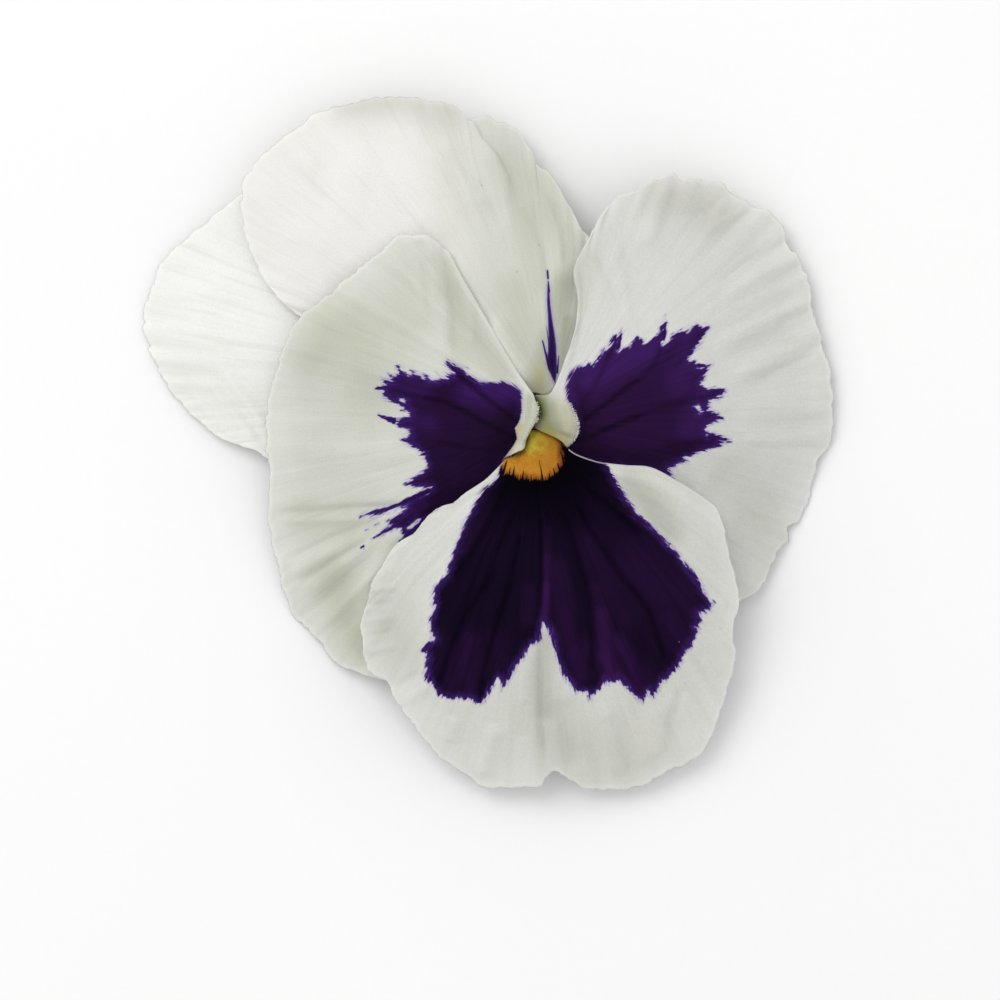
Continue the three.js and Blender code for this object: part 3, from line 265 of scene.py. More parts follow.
# relief, as heights along the surface's own normal: (height, half width, points), in mm
RELIEF = {
    "lateral_left": [
        (.3, .5, [(403, 243), (425, 238), (446, 252)]), (.12, .35, [(415, 243), (420, 280), (425, 322)]), (.12, .35, [(429, 242), (434, 280), (438, 322)]),
        (.7, 1.8, [(392, 545), (376, 580), (372, 620), (380, 655)]), (-.35, .7, [(446, 252), (455, 300), (458, 362)]), (.18, .6, [(437, 262), (445, 310), (447, 357)]), (.2, .6, [(463, 268), (471, 305), (472, 352)]),
        (.38, 1.2, [(296, 458), (355, 450), (412, 452)]), (-.42, .5, [(274, 515), (350, 509), (418, 505)]), (.26, .4, [(272, 520), (330, 519), (388, 518)]),
        (.45, .7, [(288, 577), (330, 553), (374, 532)]), (.4, .7, [(304, 596), (345, 563), (384, 533)]), (-.22, .35, [(296, 586), (337, 558), (378, 533)]),
        (-.3, .5, [(284, 561), (325, 541), (368, 525)]), (.3, .7, [(322, 628), (352, 596), (380, 566)]), (-.2, .5, [(312, 612), (346, 580), (380, 550)]),
        (.15, .5, [(330, 300), (370, 330), (410, 352)]), (-.12, .5, [(315, 325), (355, 350), (395, 366)]), (.12, .5, [(290, 380), (340, 390), (380, 398)]),
        (.26, .32, [(534, 398), (536, 408), (535, 418), (531, 432), (524, 443), (517, 452)]), (-.12, .3, [(522, 424), (518, 438), (512, 450)])],
    "lateral_right": [
        (.45, .8, [(670, 178), (656, 215), (644, 250)]), (.32, .4, [(574, 262), (577, 300), (574, 340), (563, 378)]), (-.22, .5, [(594, 248), (611, 284), (627, 320)]),
        (.22, .6, [(614, 240), (622, 285), (628, 324)]), (.22, .4, [(710, 231), (731, 217), (752, 202)]), (-.15, .4, [(700, 216), (718, 202), (735, 190)]),
        (.48, .8, [(712, 350), (760, 326), (814, 301)]), (-.3, .4, [(774, 324), (813, 308)]), (.48, .8, [(730, 379), (776, 355), (824, 331)]),
        (-.28, .4, [(754, 381), (785, 366), (818, 352)]), (.42, 1.6, [(732, 412), (780, 408), (831, 407)]), (.3, .6, [(738, 438), (785, 438), (831, 437)]),
        (-.42, 3.0, [(712, 470), (760, 500), (796, 522)]), (.42, 1.8, [(682, 500), (710, 515), (737, 532)]), (.2, .6, [(720, 300), (765, 272), (806, 255)]),
        (-.15, .5, [(716, 285), (755, 258), (796, 235)]), (.15, .5, [(690, 262), (712, 226), (726, 195)]),
        (.55, .85, [(566, 398), (570, 412), (571, 424), (566, 436)]), (-.3, .35, [(580, 404), (585, 420), (581, 438)])],
    "lower": [
        (-.35, .4, [(541, 632), (540, 680), (541, 725), (548, 768)]), (.5, .9, [(496, 722), (489, 750), (482, 778)]), (-.34, 1.2, [(562, 696), (572, 740), (577, 775)]),
        (.45, 1.2, [(600, 700), (612, 740), (620, 778)]), (.32, 1.0, [(652, 702), (648, 735), (643, 768)]), (.36, .8, [(668, 690), (661, 725), (655, 760)]),
        (-.25, .5, [(526, 698), (522, 742)]), (-.2, .5, [(681, 688), (676, 718)]), (.25, .35, [(369, 590), (398, 587)]), (-.22, .35, [(365, 606), (396, 602)]),
        (.25, .35, [(363, 622), (394, 617)]), (-.22, .35, [(364, 637), (394, 631)]), (.25, .35, [(367, 652), (398, 644)]), (-.2, .4, [(392, 690), (420, 672)]), (.25, .5, [(400, 704), (432, 684)]),
        (.3, .8, [(448, 742), (456, 716)]), (.12, .25, [(564, 447), (585, 456), (610, 461), (650, 466), (673, 476), (700, 492)]),
        (.14, .25, [(506, 467), (490, 482), (470, 494), (455, 503), (434, 508), (420, 520)]), (.2, .5, [(700, 600), (728, 606)]), (-.15, .5, [(702, 625), (726, 630)]),
        (.18, .5, [(700, 660), (722, 672)]), (-.18, .3, [(536, 474), (541, 520), (543, 600)]), (.14, .6, [(500, 500), (480, 600), (466, 680)]), (.14, .6, [(590, 500), (630, 580), (660, 650)])],
    "upper_left": [
        (.22, .5, [(203, 373), (232, 410), (260, 448)]), (.22, .5, [(220, 366), (246, 400), (272, 434)]), (.15, .4, [(188, 388), (215, 420), (240, 442)]),
        (-.15, .5, [(212, 370), (239, 405), (266, 441)]), (.15, .6, [(160, 320), (200, 330), (240, 345)]), (-.12, .5, [(158, 300), (200, 305), (240, 315)])],
    "upper_right": [
        (.85, 1.8, [(482, 322), (500, 345), (518, 372), (536, 396)]), (0.65, 1.8, [(448, 236), (456, 256), (468, 283), (481, 310), (500, 345), (515, 369), (530, 392)]), (.4, .9, [(424, 146), (466, 177), (491, 212)]), (-.4, .8, [(445, 146), (478, 184), (508, 228)]), (.2, .8, [(405, 125), (440, 170), (470, 220)]),
        (.2, .6, [(300, 150), (330, 190), (365, 230)]), (-.15, .6, [(285, 165), (318, 205), (350, 240)]), (.15, .5, [(350, 120), (375, 170), (400, 215)]),
        (.25, .5, [(540, 190), (556, 230), (560, 270)]), (-.2, .5, [(530, 210), (545, 250), (550, 290)]), (.12, .6, [(262, 210), (300, 235), (330, 255)])],
}
FOLD = [(464, 104), (468, 116), (480, 137), (496, 154), (508, 177), (513, 208), (515, 231), (521, 262), (530, 300)]
# ------------------------------------------------------------------ curves and surfaces
def along(pts, t):
    """Smooth curve through pts at t = 0..1, by chord length."""
    p = np.array(pts, float)
    L = np.r_[0, np.cumsum(np.linalg.norm(np.diff(p, axis=0), axis=1))]
    L /= L[-1]
    n = len(p)
    m = np.array([(p[min(i + 1, n - 1)] - p[max(i - 1, 0)]) / (L[min(i + 1, n - 1)] - L[max(i - 1, 0)]) for i in range(n)])
    t = np.clip(np.asarray(t, float), 0, 1)
    i = np.clip(np.searchsorted(L, t, side="right") - 1, 0, n - 2)
    h = L[i + 1] - L[i]
    s, h = ((t - L[i]) / h)[..., None], h[..., None]
    return ((2 * s**3 - 3 * s**2 + 1) * p[i] + (s**3 - 2 * s**2 + s) * h * m[i]
            + (-2 * s**3 + 3 * s**2) * p[i + 1] + (s**3 - s**2) * h * m[i + 1])


def height_field(points):
    c = np.array(points, float)
    x, z, n = c[:, :2] / 10, c[:, 2], len(c)
    d = np.linalg.norm(x[:, None] - x[None], axis=2)
    K = np.where(d > 0, d * d * np.log(np.maximum(d, 1e-9)), 0) + np.eye(n) * 0.01
    P = np.c_[np.ones(n), x]
    w = np.linalg.solve(np.block([[K, P], [P.T, np.zeros((3, 3))]]), np.r_[z, 0, 0, 0])

    def at(q):
        p = q / 10
        out = w[n] + w[n + 1] * p[..., 0] + w[n + 2] * p[..., 1]
        for i in range(n):
            d2 = (p[..., 0] - x[i, 0]) ** 2 + (p[..., 1] - x[i, 1]) ** 2
            out = out + w[i] * 0.5 * d2 * np.log(np.maximum(d2, 1e-18))
        return out
    return at


def blade(P, f, v):
    lip, rim = along(P["lip"], v), along(P["rim"], v)
    F = f[..., None]
    q = lip * (1 - F) + rim * F
    for side, e, w in (("sideA", 0.0, (1 - v) ** 7), ("sideB", 1.0, v**7)):
        a, b = along(P["lip"], e), along(P["rim"], e)
        q = q + w[..., None] * (along(P[side], f) - (a * (1 - F) + b * F))
    return q


def place(q, z):
    """A point drawn at q on the face plane, at its real place at height z."""
    k = (VIEW_DISTANCE + FACE_HEIGHT - z) / VIEW_DISTANCE
    return np.stack([VIEW_AXIS[0] + (q[..., 0] - VIEW_AXIS[0]) * k, VIEW_AXIS[1] + (q[..., 1] - VIEW_AXIS[1]) * k, z], -1)


def drawn(p):
    """Where a point is seen on the face plane."""
    k = (VIEW_DISTANCE + FACE_HEIGHT - p[..., 2]) / VIEW_DISTANCE
    return np.stack([VIEW_AXIS[0] + (p[..., 0] - VIEW_AXIS[0]) / k, VIEW_AXIS[1] + (p[..., 1] - VIEW_AXIS[1]) / k], -1)


def smooth(x, a, b):
    t = np.clip((x - a) / (b - a), 0, 1)
    return t * t * (3 - 2 * t)


def unit(a):
    return a / (np.linalg.norm(a, axis=-1, keepdims=True) + 1e-12)


def wobble(t, waves, seed):
    """Smooth random wave over t, about -1..1. waves = (lowest, highest) count of waves over t = 0..1."""
    r = np.random.default_rng(seed)
    out, total = 0, 0
    for _ in range(9):
        k, a = r.uniform(*waves), r.uniform(0.5, 1)
        out, total = out + a * np.sin(2 * np.pi * (k * t + r.uniform())), total + a * a
    return out / math.sqrt(total * 2)


def lumps(q, size, seed):
    """Smooth random bumps over the plane, about -1..1, of that size in mm."""
    r = np.random.default_rng(seed)
    out = 0
    for _ in range(14):
        a, k = r.uniform(0, 2 * np.pi), 2 * np.pi / (size * r.uniform(0.8, 2.2))
        out = out + np.sin(k * (q[..., 0] * np.cos(a) + q[..., 1] * np.sin(a)) + r.uniform(0, 2 * np.pi))
    return out / math.sqrt(14) / 1.2


def to_line(q, pts):
    """Distance to a polyline, the share 0..1 along it, and the signed side."""
    p = np.array(pts, float)
    seg = np.linalg.norm(np.diff(p, axis=0), axis=1)
    L = np.r_[0, np.cumsum(seg)]
    best = np.full(q.shape[:-1], 1e9)
    share, side = np.zeros(q.shape[:-1]), np.zeros(q.shape[:-1])
    for i in range(len(p) - 1):
        d = p[i + 1] - p[i]
        t = np.clip(((q - p[i]) @ d) / (d @ d), 0, 1)
        e = q - p[i] - t[..., None] * d
        r = np.linalg.norm(e, axis=-1)
        near = r < best
        best = np.where(near, r, best)
        share = np.where(near, (L[i] + t * seg[i]) / L[-1], share)
        side = np.where(near, np.sign(d[0] * e[..., 1] - d[1] * e[..., 0]), side)
    return best, share, side


def ridge(q, pts, width):
    r, t, _ = to_line(q, SHEET(pts))
    return np.exp(-(r / width) ** 2) * smooth(t, -0.02, 0.2) * smooth(1 - t, -0.02, 0.2)


def inside_by(q, poly):
    """Signed distance in mm to a closed outline, positive inside."""
    p = SHEET(poly)
    r, _, _ = to_line(q, np.vstack([p, p[:1]]))
    x, y = q[..., 0], q[..., 1]
    inside = np.zeros(q.shape[:-1], bool)
    for a, b in zip(p, np.roll(p, -1, axis=0)):
        hit = (a[1] > y) != (b[1] > y)
        with np.errstate(divide="ignore", invalid="ignore"):
            cut = (b[0] - a[0]) * (y - a[1]) / (b[1] - a[1]) + a[0]
        inside ^= hit & (x < cut)
    return np.where(inside, r, -r)


def stroke(q, s):
    a, b = SHEET([s[:2], s[2:4]])
    r, t, _ = to_line(q, [a, b + 1e-6])
    return (s[4] + (s[5] - s[4]) * t) / 10 - r


def tint(q, strokes):
    out = np.zeros(q.shape[:-1])
    for strength, width, pts in strokes:
        r, _, _ = to_line(q, SHEET(pts))
        out = np.maximum(out, strength * np.exp(-(r / width) ** 2))
    return out


# ------------------------------------------------------------------ meshes
def mesh_object(name, verts, faces, material, attributes=None, corner_uv=None, stands_for=()):
    me = bpy.data.meshes.new(name)
    me.from_pydata((np.asarray(verts, float) * 0.001).tolist(), [], [list(map(int, f)) for f in faces])
    me.shade_smooth()
    for key, value in (attributes or {}).items():
        value = np.asarray(value, np.float32)
        if value.ndim == 2:
            me.attributes.new(key, "FLOAT_VECTOR", "POINT").data.foreach_set("vector", value.ravel())
        else:
            me.attributes.new(key, "FLOAT", "POINT").data.foreach_set("value", value)
    if corner_uv is not None:
        me.uv_layers.new(name="OFBake").data.foreach_set("uv", np.clip(corner_uv, 0.002, 0.998).astype(np.float32).ravel())
    me.materials.append(material)
    ob = bpy.data.objects.new(name, me)
    bpy.context.scene.collection.objects.link(ob)
    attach(ob, "root")
    for n in stands_for:
        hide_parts(n)
    return ob


def grid_faces(R, C, index, flip):
    a, b, c, d = index[:-1, :-1], index[1:, :-1], index[1:, 1:], index[:-1, 1:]
    f = np.stack([a, b, c, d] if not flip else [a, d, c, b], -1)
    return f.reshape(-1, 4)


def shell(mid, half, edge=0.2, up=None):
    """Closed thin body around a grid of mid-surface points: vertices, faces of the two sides, front indices, back indices, normals."""
    R, C = mid.shape[:2]
    n = unit(np.cross(np.gradient(mid, axis=0), np.gradient(mid, axis=1)))
    flip = (n[R // 2:, :, 2].mean() if up is None else (n * up).sum(-1).mean()) < 0
    if flip:
        n = -n
    lr = np.pad(np.linalg.norm(np.diff(mid, axis=0), axis=2), ((1, 0), (0, 0)))
    lc = np.pad(np.linalg.norm(np.diff(mid, axis=1), axis=2), ((0, 0), (1, 0)))
    r0, c0 = np.cumsum(lr, 0), np.cumsum(lc, 1)
    d = np.minimum(np.minimum(r0, r0[-1:] - r0), np.minimum(c0, c0[:, -1:] - c0))
    t = half * np.sqrt(np.maximum(1 - (1 - np.minimum(d / edge, 1)) ** 2, 0))
    front = mid + n * t[..., None]
    back = mid - n * t[..., None]
    fi = np.arange(R * C).reshape(R, C)
    bi = fi.copy()
    bi[1:-1, 1:-1] = R * C + np.arange((R - 2) * (C - 2)).reshape(R - 2, C - 2)
    verts = np.vstack([front.reshape(-1, 3), back[1:-1, 1:-1].reshape(-1, 3)])
    return verts, grid_faces(R, C, fi, flip), grid_faces(R, C, bi, not flip), fi, bi, n, d


def tube(path, rx, ry, sides, flat=(0, 0, 1), shape=None, cap=0.0):
    """Closed body swept along a path. shape(angle, share) scales its section. cap = how far its two ends are rounded out."""
    path = np.asarray(path, float)
    n = len(path)
    rx, ry = np.broadcast_to(rx, n), np.broadcast_to(ry, n)
    t = unit(np.gradient(path, axis=0))
    a = unit(np.cross(np.array(flat, float), t))
    b = np.cross(t, a)
    w = 2 * np.pi * np.arange(sides) / sides
    k = np.ones((n, sides)) if shape is None else shape(w[None, :], np.linspace(0, 1, n)[:, None]) * np.ones((n, sides))
    v = (path[:, None] + a[:, None] * (rx[:, None] * np.cos(w) * k)[..., None] + b[:, None] * (ry[:, None] * np.sin(w) * k)[..., None]).reshape(-1, 3)
    i = np.arange(n * sides).reshape(n, sides)
    j = np.roll(i, -1, axis=1)
    faces = np.stack([i[:-1], j[:-1], j[1:], i[1:]], -1).reshape(-1, 4).tolist()
    v = np.vstack([v, path[0] - t[0] * cap, path[-1] + t[-1] * cap])
    s, e = n * sides, n * sides + 1
    for q in range(sides):
        p = (q + 1) % sides
        faces.append([s, p, q])
        faces.append([e, (n - 1) * sides + q, (n - 1) * sides + p])
    h = np.r_[np.repeat(np.linspace(0, 1, n), sides), 0, 1]
    return v, faces, h


def joined(parts):
    """Several (vertices, faces, value) bodies as one."""
    V, F, H, o = [], [], [], 0
    for v, f, h in parts:
        V.append(v)
        F += [[int(x) + o for x in q] for q in f]
        H.append(h)
        o += len(v)
    return np.vstack(V), F, np.concatenate(H)
# ------------------------------------------------------------------ materials
def RGB(r, g, b):
    def f(c):
        c /= 255
        return c / 12.92 if c <= 0.04045 else ((c + 0.055) / 1.055) ** 2.4
    return (f(r), f(g), f(b), 1.0)


class Graph:
    def __init__(self, name):
        self.material = bpy.data.materials.new(name)
        self.material.use_nodes = True
        self.tree = self.material.node_tree
        self.tree.nodes.clear()

    def new(self, kind, **properties):
        node = self.tree.nodes.new(kind)
        for k, v in properties.items():
            setattr(node, k, v)
        return node

    def put(self, socket, value):
        if isinstance(value, bpy.types.NodeSocket):
            self.tree.links.new(value, socket)
        else:
            socket.default_value = value

    def value(self, name):
        return self.new("ShaderNodeAttribute", attribute_name=name).outputs["Fac"]

    def parts(self, name):
        s = self.new("ShaderNodeSeparateXYZ")
        self.put(s.inputs[0], self.new("ShaderNodeAttribute", attribute_name=name).outputs["Vector"])
        return s.outputs[0], s.outputs[1], s.outputs[2]

    def math(self, op, a, b=0.0, c=0.0, clamp=False):
        n = self.new("ShaderNodeMath", operation=op, use_clamp=clamp)
        for s, v in zip(n.inputs, (a, b, c)):
            self.put(s, v)
        return n.outputs[0]

    def vector(self, x, y, z=0.0):
        n = self.new("ShaderNodeCombineXYZ")
        for s, v in zip(n.inputs, (x, y, z)):
            self.put(s, v)
        return n.outputs[0]

    def stretched(self, v, r, kv, kr, seed=0.0):
        return self.vector(self.math("MULTIPLY", v, kv), self.math("MULTIPLY", r, kr), seed)

    def noise(self, vector, scale=1.0, detail=2.0, rough=0.5):
        n = self.new("ShaderNodeTexNoise")
        self.put(n.inputs["Vector"], vector)
        n.inputs["Scale"].default_value, n.inputs["Detail"].default_value, n.inputs["Roughness"].default_value = scale, detail, rough
        return n.outputs[0]

    def cells(self, vector, scale=1.0):
        n = self.new("ShaderNodeTexVoronoi")
        self.put(n.inputs["Vector"], vector)
        n.inputs["Scale"].default_value = scale
        return n.outputs["Distance"], n.outputs["Color"]

    def smooth(self, x, a, b, lo=0.0, hi=1.0):
        n = self.new("ShaderNodeMapRange", interpolation_type="SMOOTHSTEP")
        self.put(n.inputs["Value"], x)
        for s, v in zip(("From Min", "From Max", "To Min", "To Max"), (a, b, lo, hi)):
            self.put(n.inputs[s], v)
        return n.outputs["Result"]

    def mix(self, f, a, b, blend="MIX"):
        n = self.new("ShaderNodeMix", data_type="RGBA", blend_type=blend)
        self.put(n.inputs[0], f)
        self.put(n.inputs[6], a)
        self.put(n.inputs[7], b)
        return n.outputs[2]

    def times(self, *values):
        out = values[0]
        for v in values[1:]:
            out = self.math("MULTIPLY", out, v)
        return out

    def finish(self, colour, roughness=0.6, specular=0.04, bump=None, depth=0.03, subsurface=0.0):
        p = self.new("ShaderNodeBsdfPrincipled")
        self.put(p.inputs["Base Color"], colour)
        self.put(p.inputs["Roughness"], roughness)
        p.inputs["Specular IOR Level"].default_value = specular
        if subsurface:
            p.inputs["Subsurface Weight"].default_value = subsurface
            p.inputs["Subsurface Radius"].default_value = (1.0, 0.95, 0.8)
            p.inputs["Subsurface Scale"].default_value = 0.0006
        if bump is not None:
            b = self.new("ShaderNodeBump")
            b.inputs["Strength"].default_value = 1.0
            b.inputs["Distance"].default_value = depth * 0.001
            self.put(b.inputs["Height"], bump)
            self.put(p.inputs["Normal"], b.outputs[0])
        out = self.new("ShaderNodeOutputMaterial")
        self.put(out.inputs["Surface"], p.outputs[0])
        return self.material


def petal_material(part, tone, tone2, seed, bright, inner, dark, dark_from, dark_to, fringe=75.0, throat=False, ragged_by=1.3, fine_by=0.8, fade=None, glow=None):
    g = Graph("petal_" + part)
    v, r, f = g.parts("vein")
    x, y, side = g.parts("face")
    plane = g.vector(x, y, seed)
    green, yellow, violet, shade, light, dusk = (g.value(k) for k in ("green", "yellow", "violet", "shade", "light", "dusk"))
    # the pale ground: cloudy, with faint veins that fork towards the margin
    col = g.mix(g.smooth(g.noise(plane, 0.16, 2.0), 0.3, 0.7), tone, tone2)
    # painted shade: the ground turns towards the given greyer colour across x, on the side away from the light
    if fade:
        col = g.mix(g.smooth(x, fade[0], fade[1]), col, fade[2])
    veins = g.noise(g.stretched(v, r, fringe * 0.62, 0.05, seed), 1.0, 2.5, 0.55)
    forks = g.noise(g.stretched(v, r, fringe * 2.1, 0.16, seed + 5), 1.0, 2.0, 0.5)
    col = g.mix(g.times(g.smooth(veins, 0.52, 0.66), 0.10), col, RGB(160, 165, 146))
    col = g.mix(g.times(g.smooth(forks, 0.55, 0.7), g.smooth(f, 0.2, 0.8), 0.08), col, RGB(168, 172, 158))
    col = g.mix(g.times(g.smooth(veins, 0.48, 0.32), 0.12), col, RGB(246, 246, 243))
    skin = g.noise(plane, 5.5, 3.0, 0.6)
    col = g.mix(0.05, col, g.mix(g.smooth(skin, 0.35, 0.65), RGB(120, 122, 112), RGB(255, 255, 252)))
    col = g.mix(g.times(g.smooth(f, 0.84, 1.0), 0.3), col, RGB(236, 236, 231))
    col = g.mix(g.times(g.smooth(f, 0.975, 1.0), 0.35), col, RGB(246, 246, 243))
    # painted shade: the colour is multiplied by a grey where the shade strokes are drawn
    col = g.mix(g.math("MINIMUM", shade, 1.0), col, g.mix(1.0, col, RGB(192, 193, 181), "MULTIPLY"))
    # painted light: paler where the light bands lift the shadow beside a neighbouring petal's margin
    col = g.mix(light, col, RGB(246, 246, 242))
    # green tint, partly painted shade: the colour turns olive where the green strokes are drawn
    col = g.mix(g.math("MINIMUM", green, 1.0), col, RGB(142, 148, 104))
    col = g.mix(g.times(yellow, g.smooth(g.noise(plane, 1.1, 2.0), 0.2, 0.6, 0.75, 1.0)), col, RGB(186, 172, 62))
    # the blotch: violet at its ragged fringe, nearly black towards the throat, with darker veins
    sd = g.value("blotch")
    ragged = g.math("SUBTRACT", g.noise(g.stretched(v, r, fringe, 0.45, seed + 1), 1.0, 3.0, 0.62), 0.5)
    fine = g.math("SUBTRACT", g.noise(g.stretched(v, r, fringe * 3.2, 1.3, seed + 2), 1.0, 2.0, 0.6), 0.5)
    sd2 = g.math("ADD", sd, g.times(g.math("ADD", g.times(ragged, ragged_by), g.times(fine, fine_by)), g.smooth(r, 2.8, 7.5, 0.22, 1.0)))
    mask = g.smooth(sd2, -0.04, 0.07)
    halo = g.smooth(sd2, -0.36, 0.02)
    lines = g.math("ABSOLUTE", g.math("SUBTRACT", g.noise(g.stretched(v, r, 17.0, 0.035, seed + 3), 1.0, 1.0, 0.4), 0.5))
    thread = g.noise(g.stretched(v, r, fringe * 0.8, 0.10, seed + 4), 1.0, 2.0, 0.5)
    outer = g.smooth(r, 3.0, 8.0)
    ink = g.mix(g.smooth(sd2, 0.1, 0.95), bright, inner)
    ink = g.mix(g.times(g.math("MINIMUM", violet, 1.0), g.smooth(thread, 0.34, 0.58, 0.65, 1.0)), ink, glow or bright)
    ink = g.mix(g.times(g.smooth(lines, 0.032, 0.004), 0.16), ink, dark)
    ink = g.mix(g.times(g.smooth(thread, 0.46, 0.66), 0.12), ink, dark)
    ink = g.mix(g.times(g.smooth(thread, 0.42, 0.28), 0.10), ink, bright)
    ink = g.mix(g.times(g.math("MINIMUM", dusk, 1.0), g.smooth(g.math("ADD", thread, g.times(fine, 0.6)), 0.3, 0.6, 0.6, 1.0)), ink, dark)
    ink = g.mix(g.times(g.smooth(sd2, 0.5, 0.12), outer, 0.6), ink, RGB(50, 28, 98))
    ink = g.mix(g.times(g.smooth(sd2, 0.2, 0.0), outer, 0.75), ink, RGB(94, 66, 144))
    ink = g.mix(g.smooth(r, dark_from, dark_to, 1.0, 0.0), ink, dark)
    seen = g.math("MULTIPLY_ADD", side, 0.66, 0.34)
    col = g.mix(g.times(halo, 0.5, seen), col, RGB(156, 136, 194))
    col = g.mix(g.times(mask, seen), col, ink)
    # tiny pale glints on the dark velvet
    spot, pick = g.cells(plane, 0.62)
    split = g.new("ShaderNodeSeparateColor")
    g.put(split.inputs[0], pick)
    col = g.mix(g.times(g.smooth(spot, 0.055, 0.03), g.math("GREATER_THAN", split.outputs[0], 0.72), mask, side, 0.38), col, RGB(190, 184, 200))
    if throat:
        sdt, teeth = g.value("throat"), g.value("teeth")
        rag = g.math("SUBTRACT", g.noise(g.stretched(v, r, 46.0, 1.2, seed + 7), 1.0, 5.0, 0.75), 0.5)
        lit = g.smooth(g.math("ADD", sdt, g.times(rag, 1.3)), -0.08, 0.12)
        cut = g.smooth(g.math("ADD", teeth, g.times(rag, 0.16)), -0.035, 0.035)
        low = g.noise(plane, 1.3, 2.0)
        gold = g.mix(g.smooth(y, -1.7, -0.3), RGB(188, 130, 43), RGB(184, 170, 62))
        gold = g.mix(g.times(g.smooth(x, 4.4, 6.4), 0.75), gold, RGB(172, 116, 38))
        gold = g.mix(g.times(g.smooth(low, 0.42, 0.62), 0.45), gold, RGB(168, 108, 34))
        gold = g.mix(g.times(g.smooth(g.noise(plane, 4.5, 2.0), 0.56, 0.68), 0.35), gold, RGB(150, 92, 40))
        gold = g.mix(g.times(g.smooth(x, 6.6, 7.4), 0.65), gold, RGB(104, 62, 26))
        gold = g.mix(g.times(g.smooth(g.math("ADD", sdt, g.times(rag, 1.6)), 0.75, 0.0), 0.8), gold, RGB(112, 52, 26))
        col = g.mix(g.times(lit, g.math("SUBTRACT", 1.0, cut), side), col, gold)
    # the thin pale line along the side margins near the throat
    line = g.times(g.smooth(g.value("edge"), 0.17, 0.09), side)
    col = g.mix(g.times(line, g.smooth(r, 1.5, 3.0), 0.7 if throat else 0.0), col, RGB(192, 184, 200))
    relief = g.math("ADD", g.times(veins, 0.6), g.math("ADD", g.times(forks, 0.35), g.times(skin, 0.5)))
    return g.finish(col, 0.7, 0.015, relief, 0.045, subsurface=0.15)


def plant_material(name, light, mid, dark, scale=1.4, tip=None, tip_from=0.8, tip_to=0.95, roughness=0.5, specular=0.25, stretch=6.0, edge=None):
    """Green or waxy tissue: long fibres along the piece, mottling, fine pores and, where asked, another colour towards its end."""
    g = Graph(name)
    across, h, s = g.parts("along")
    co = g.new("ShaderNodeNewGeometry").outputs["Position"]
    fibre = g.noise(g.vector(g.times(across, stretch * scale), g.times(h, 1.6), 0.0), 1.0, 3.0, 0.6)
    cloud = g.noise(co, 420.0, 2.0, 0.5)
    pores = g.noise(co, 5200.0, 2.0, 0.5)
    col = g.mix(g.smooth(cloud, 0.35, 0.65), mid, light)
    col = g.mix(g.times(g.smooth(fibre, 0.5, 0.64), 0.75), col, dark)
    col = g.mix(g.times(g.smooth(fibre, 0.46, 0.34), 0.4), col, light)
    col = g.mix(g.times(g.smooth(pores, 0.55, 0.7), 0.2), col, dark)
    if edge is not None:
        col = g.mix(g.times(g.smooth(s, 0.72, 1.0), 0.7), col, edge)
    if tip is not None:
        col = g.mix(g.smooth(g.math("ADD", h, g.times(g.math("SUBTRACT", cloud, 0.5), 0.2)), tip_from, tip_to), col, tip)
    return g.finish(col, roughness, specular, g.math("ADD", g.times(fibre, 0.8), g.times(pores, 0.3)), 0.04)
# ------------------------------------------------------------------ petals
ROWS, CLAW_ROWS, COLUMNS = 164, 34, 240
MOUTH = np.array([CENTRE[0] + 0.2, CENTRE[1] - 2.05, 5.1])
SPUR_AXIS, SPUR_UP = np.array([0, -0.6, -0.8]), np.array([0, -0.8, 0.6])
SPUR_R, SPUR_TIP, SPUR_LENGTH = 0.88, 0.74, 5.3
SURFACE = {}
# how the claws swell: (shift in mm, from v to v, from s to s)
CLAW_BULGE = {
    "lateral_right": [((-0.75, -0.05, 0.62), (0.45, 1.0), (0.1, 1.0)), ((-0.85, 0.0, 0.15), (-0.2, 0.1), (0.15, 1.0)), ((-0.3, 0.5, 0.1), (0.35, 0.0), (0.3, 1.0))],
    "lower": [((0.8, 0.0, -1.0), (0.6, 1.0), (0.1, 1.0)), ((1.45, -0.5, -1.0), (0.5, 0.0), (0.2, 1.1)), ((0.05, 1.6, 0.8), (-2.0, -1.0), (0.0, 0.95)),
              ((-0.65, 0.05, -0.62), (0.2, 0.0), (0.6, 1.06)), ((0.4, -0.25, -0.3), (0.8, 1.0), (0.62, 1.02))],
    "lateral_left": [((0.1, -0.3, 0.0), (0.6, 1.0), (0.3, 1.0)), ((-0.66, 0.0, 0.0), (1.05, 0.78), (0.4, 1.02))],
}


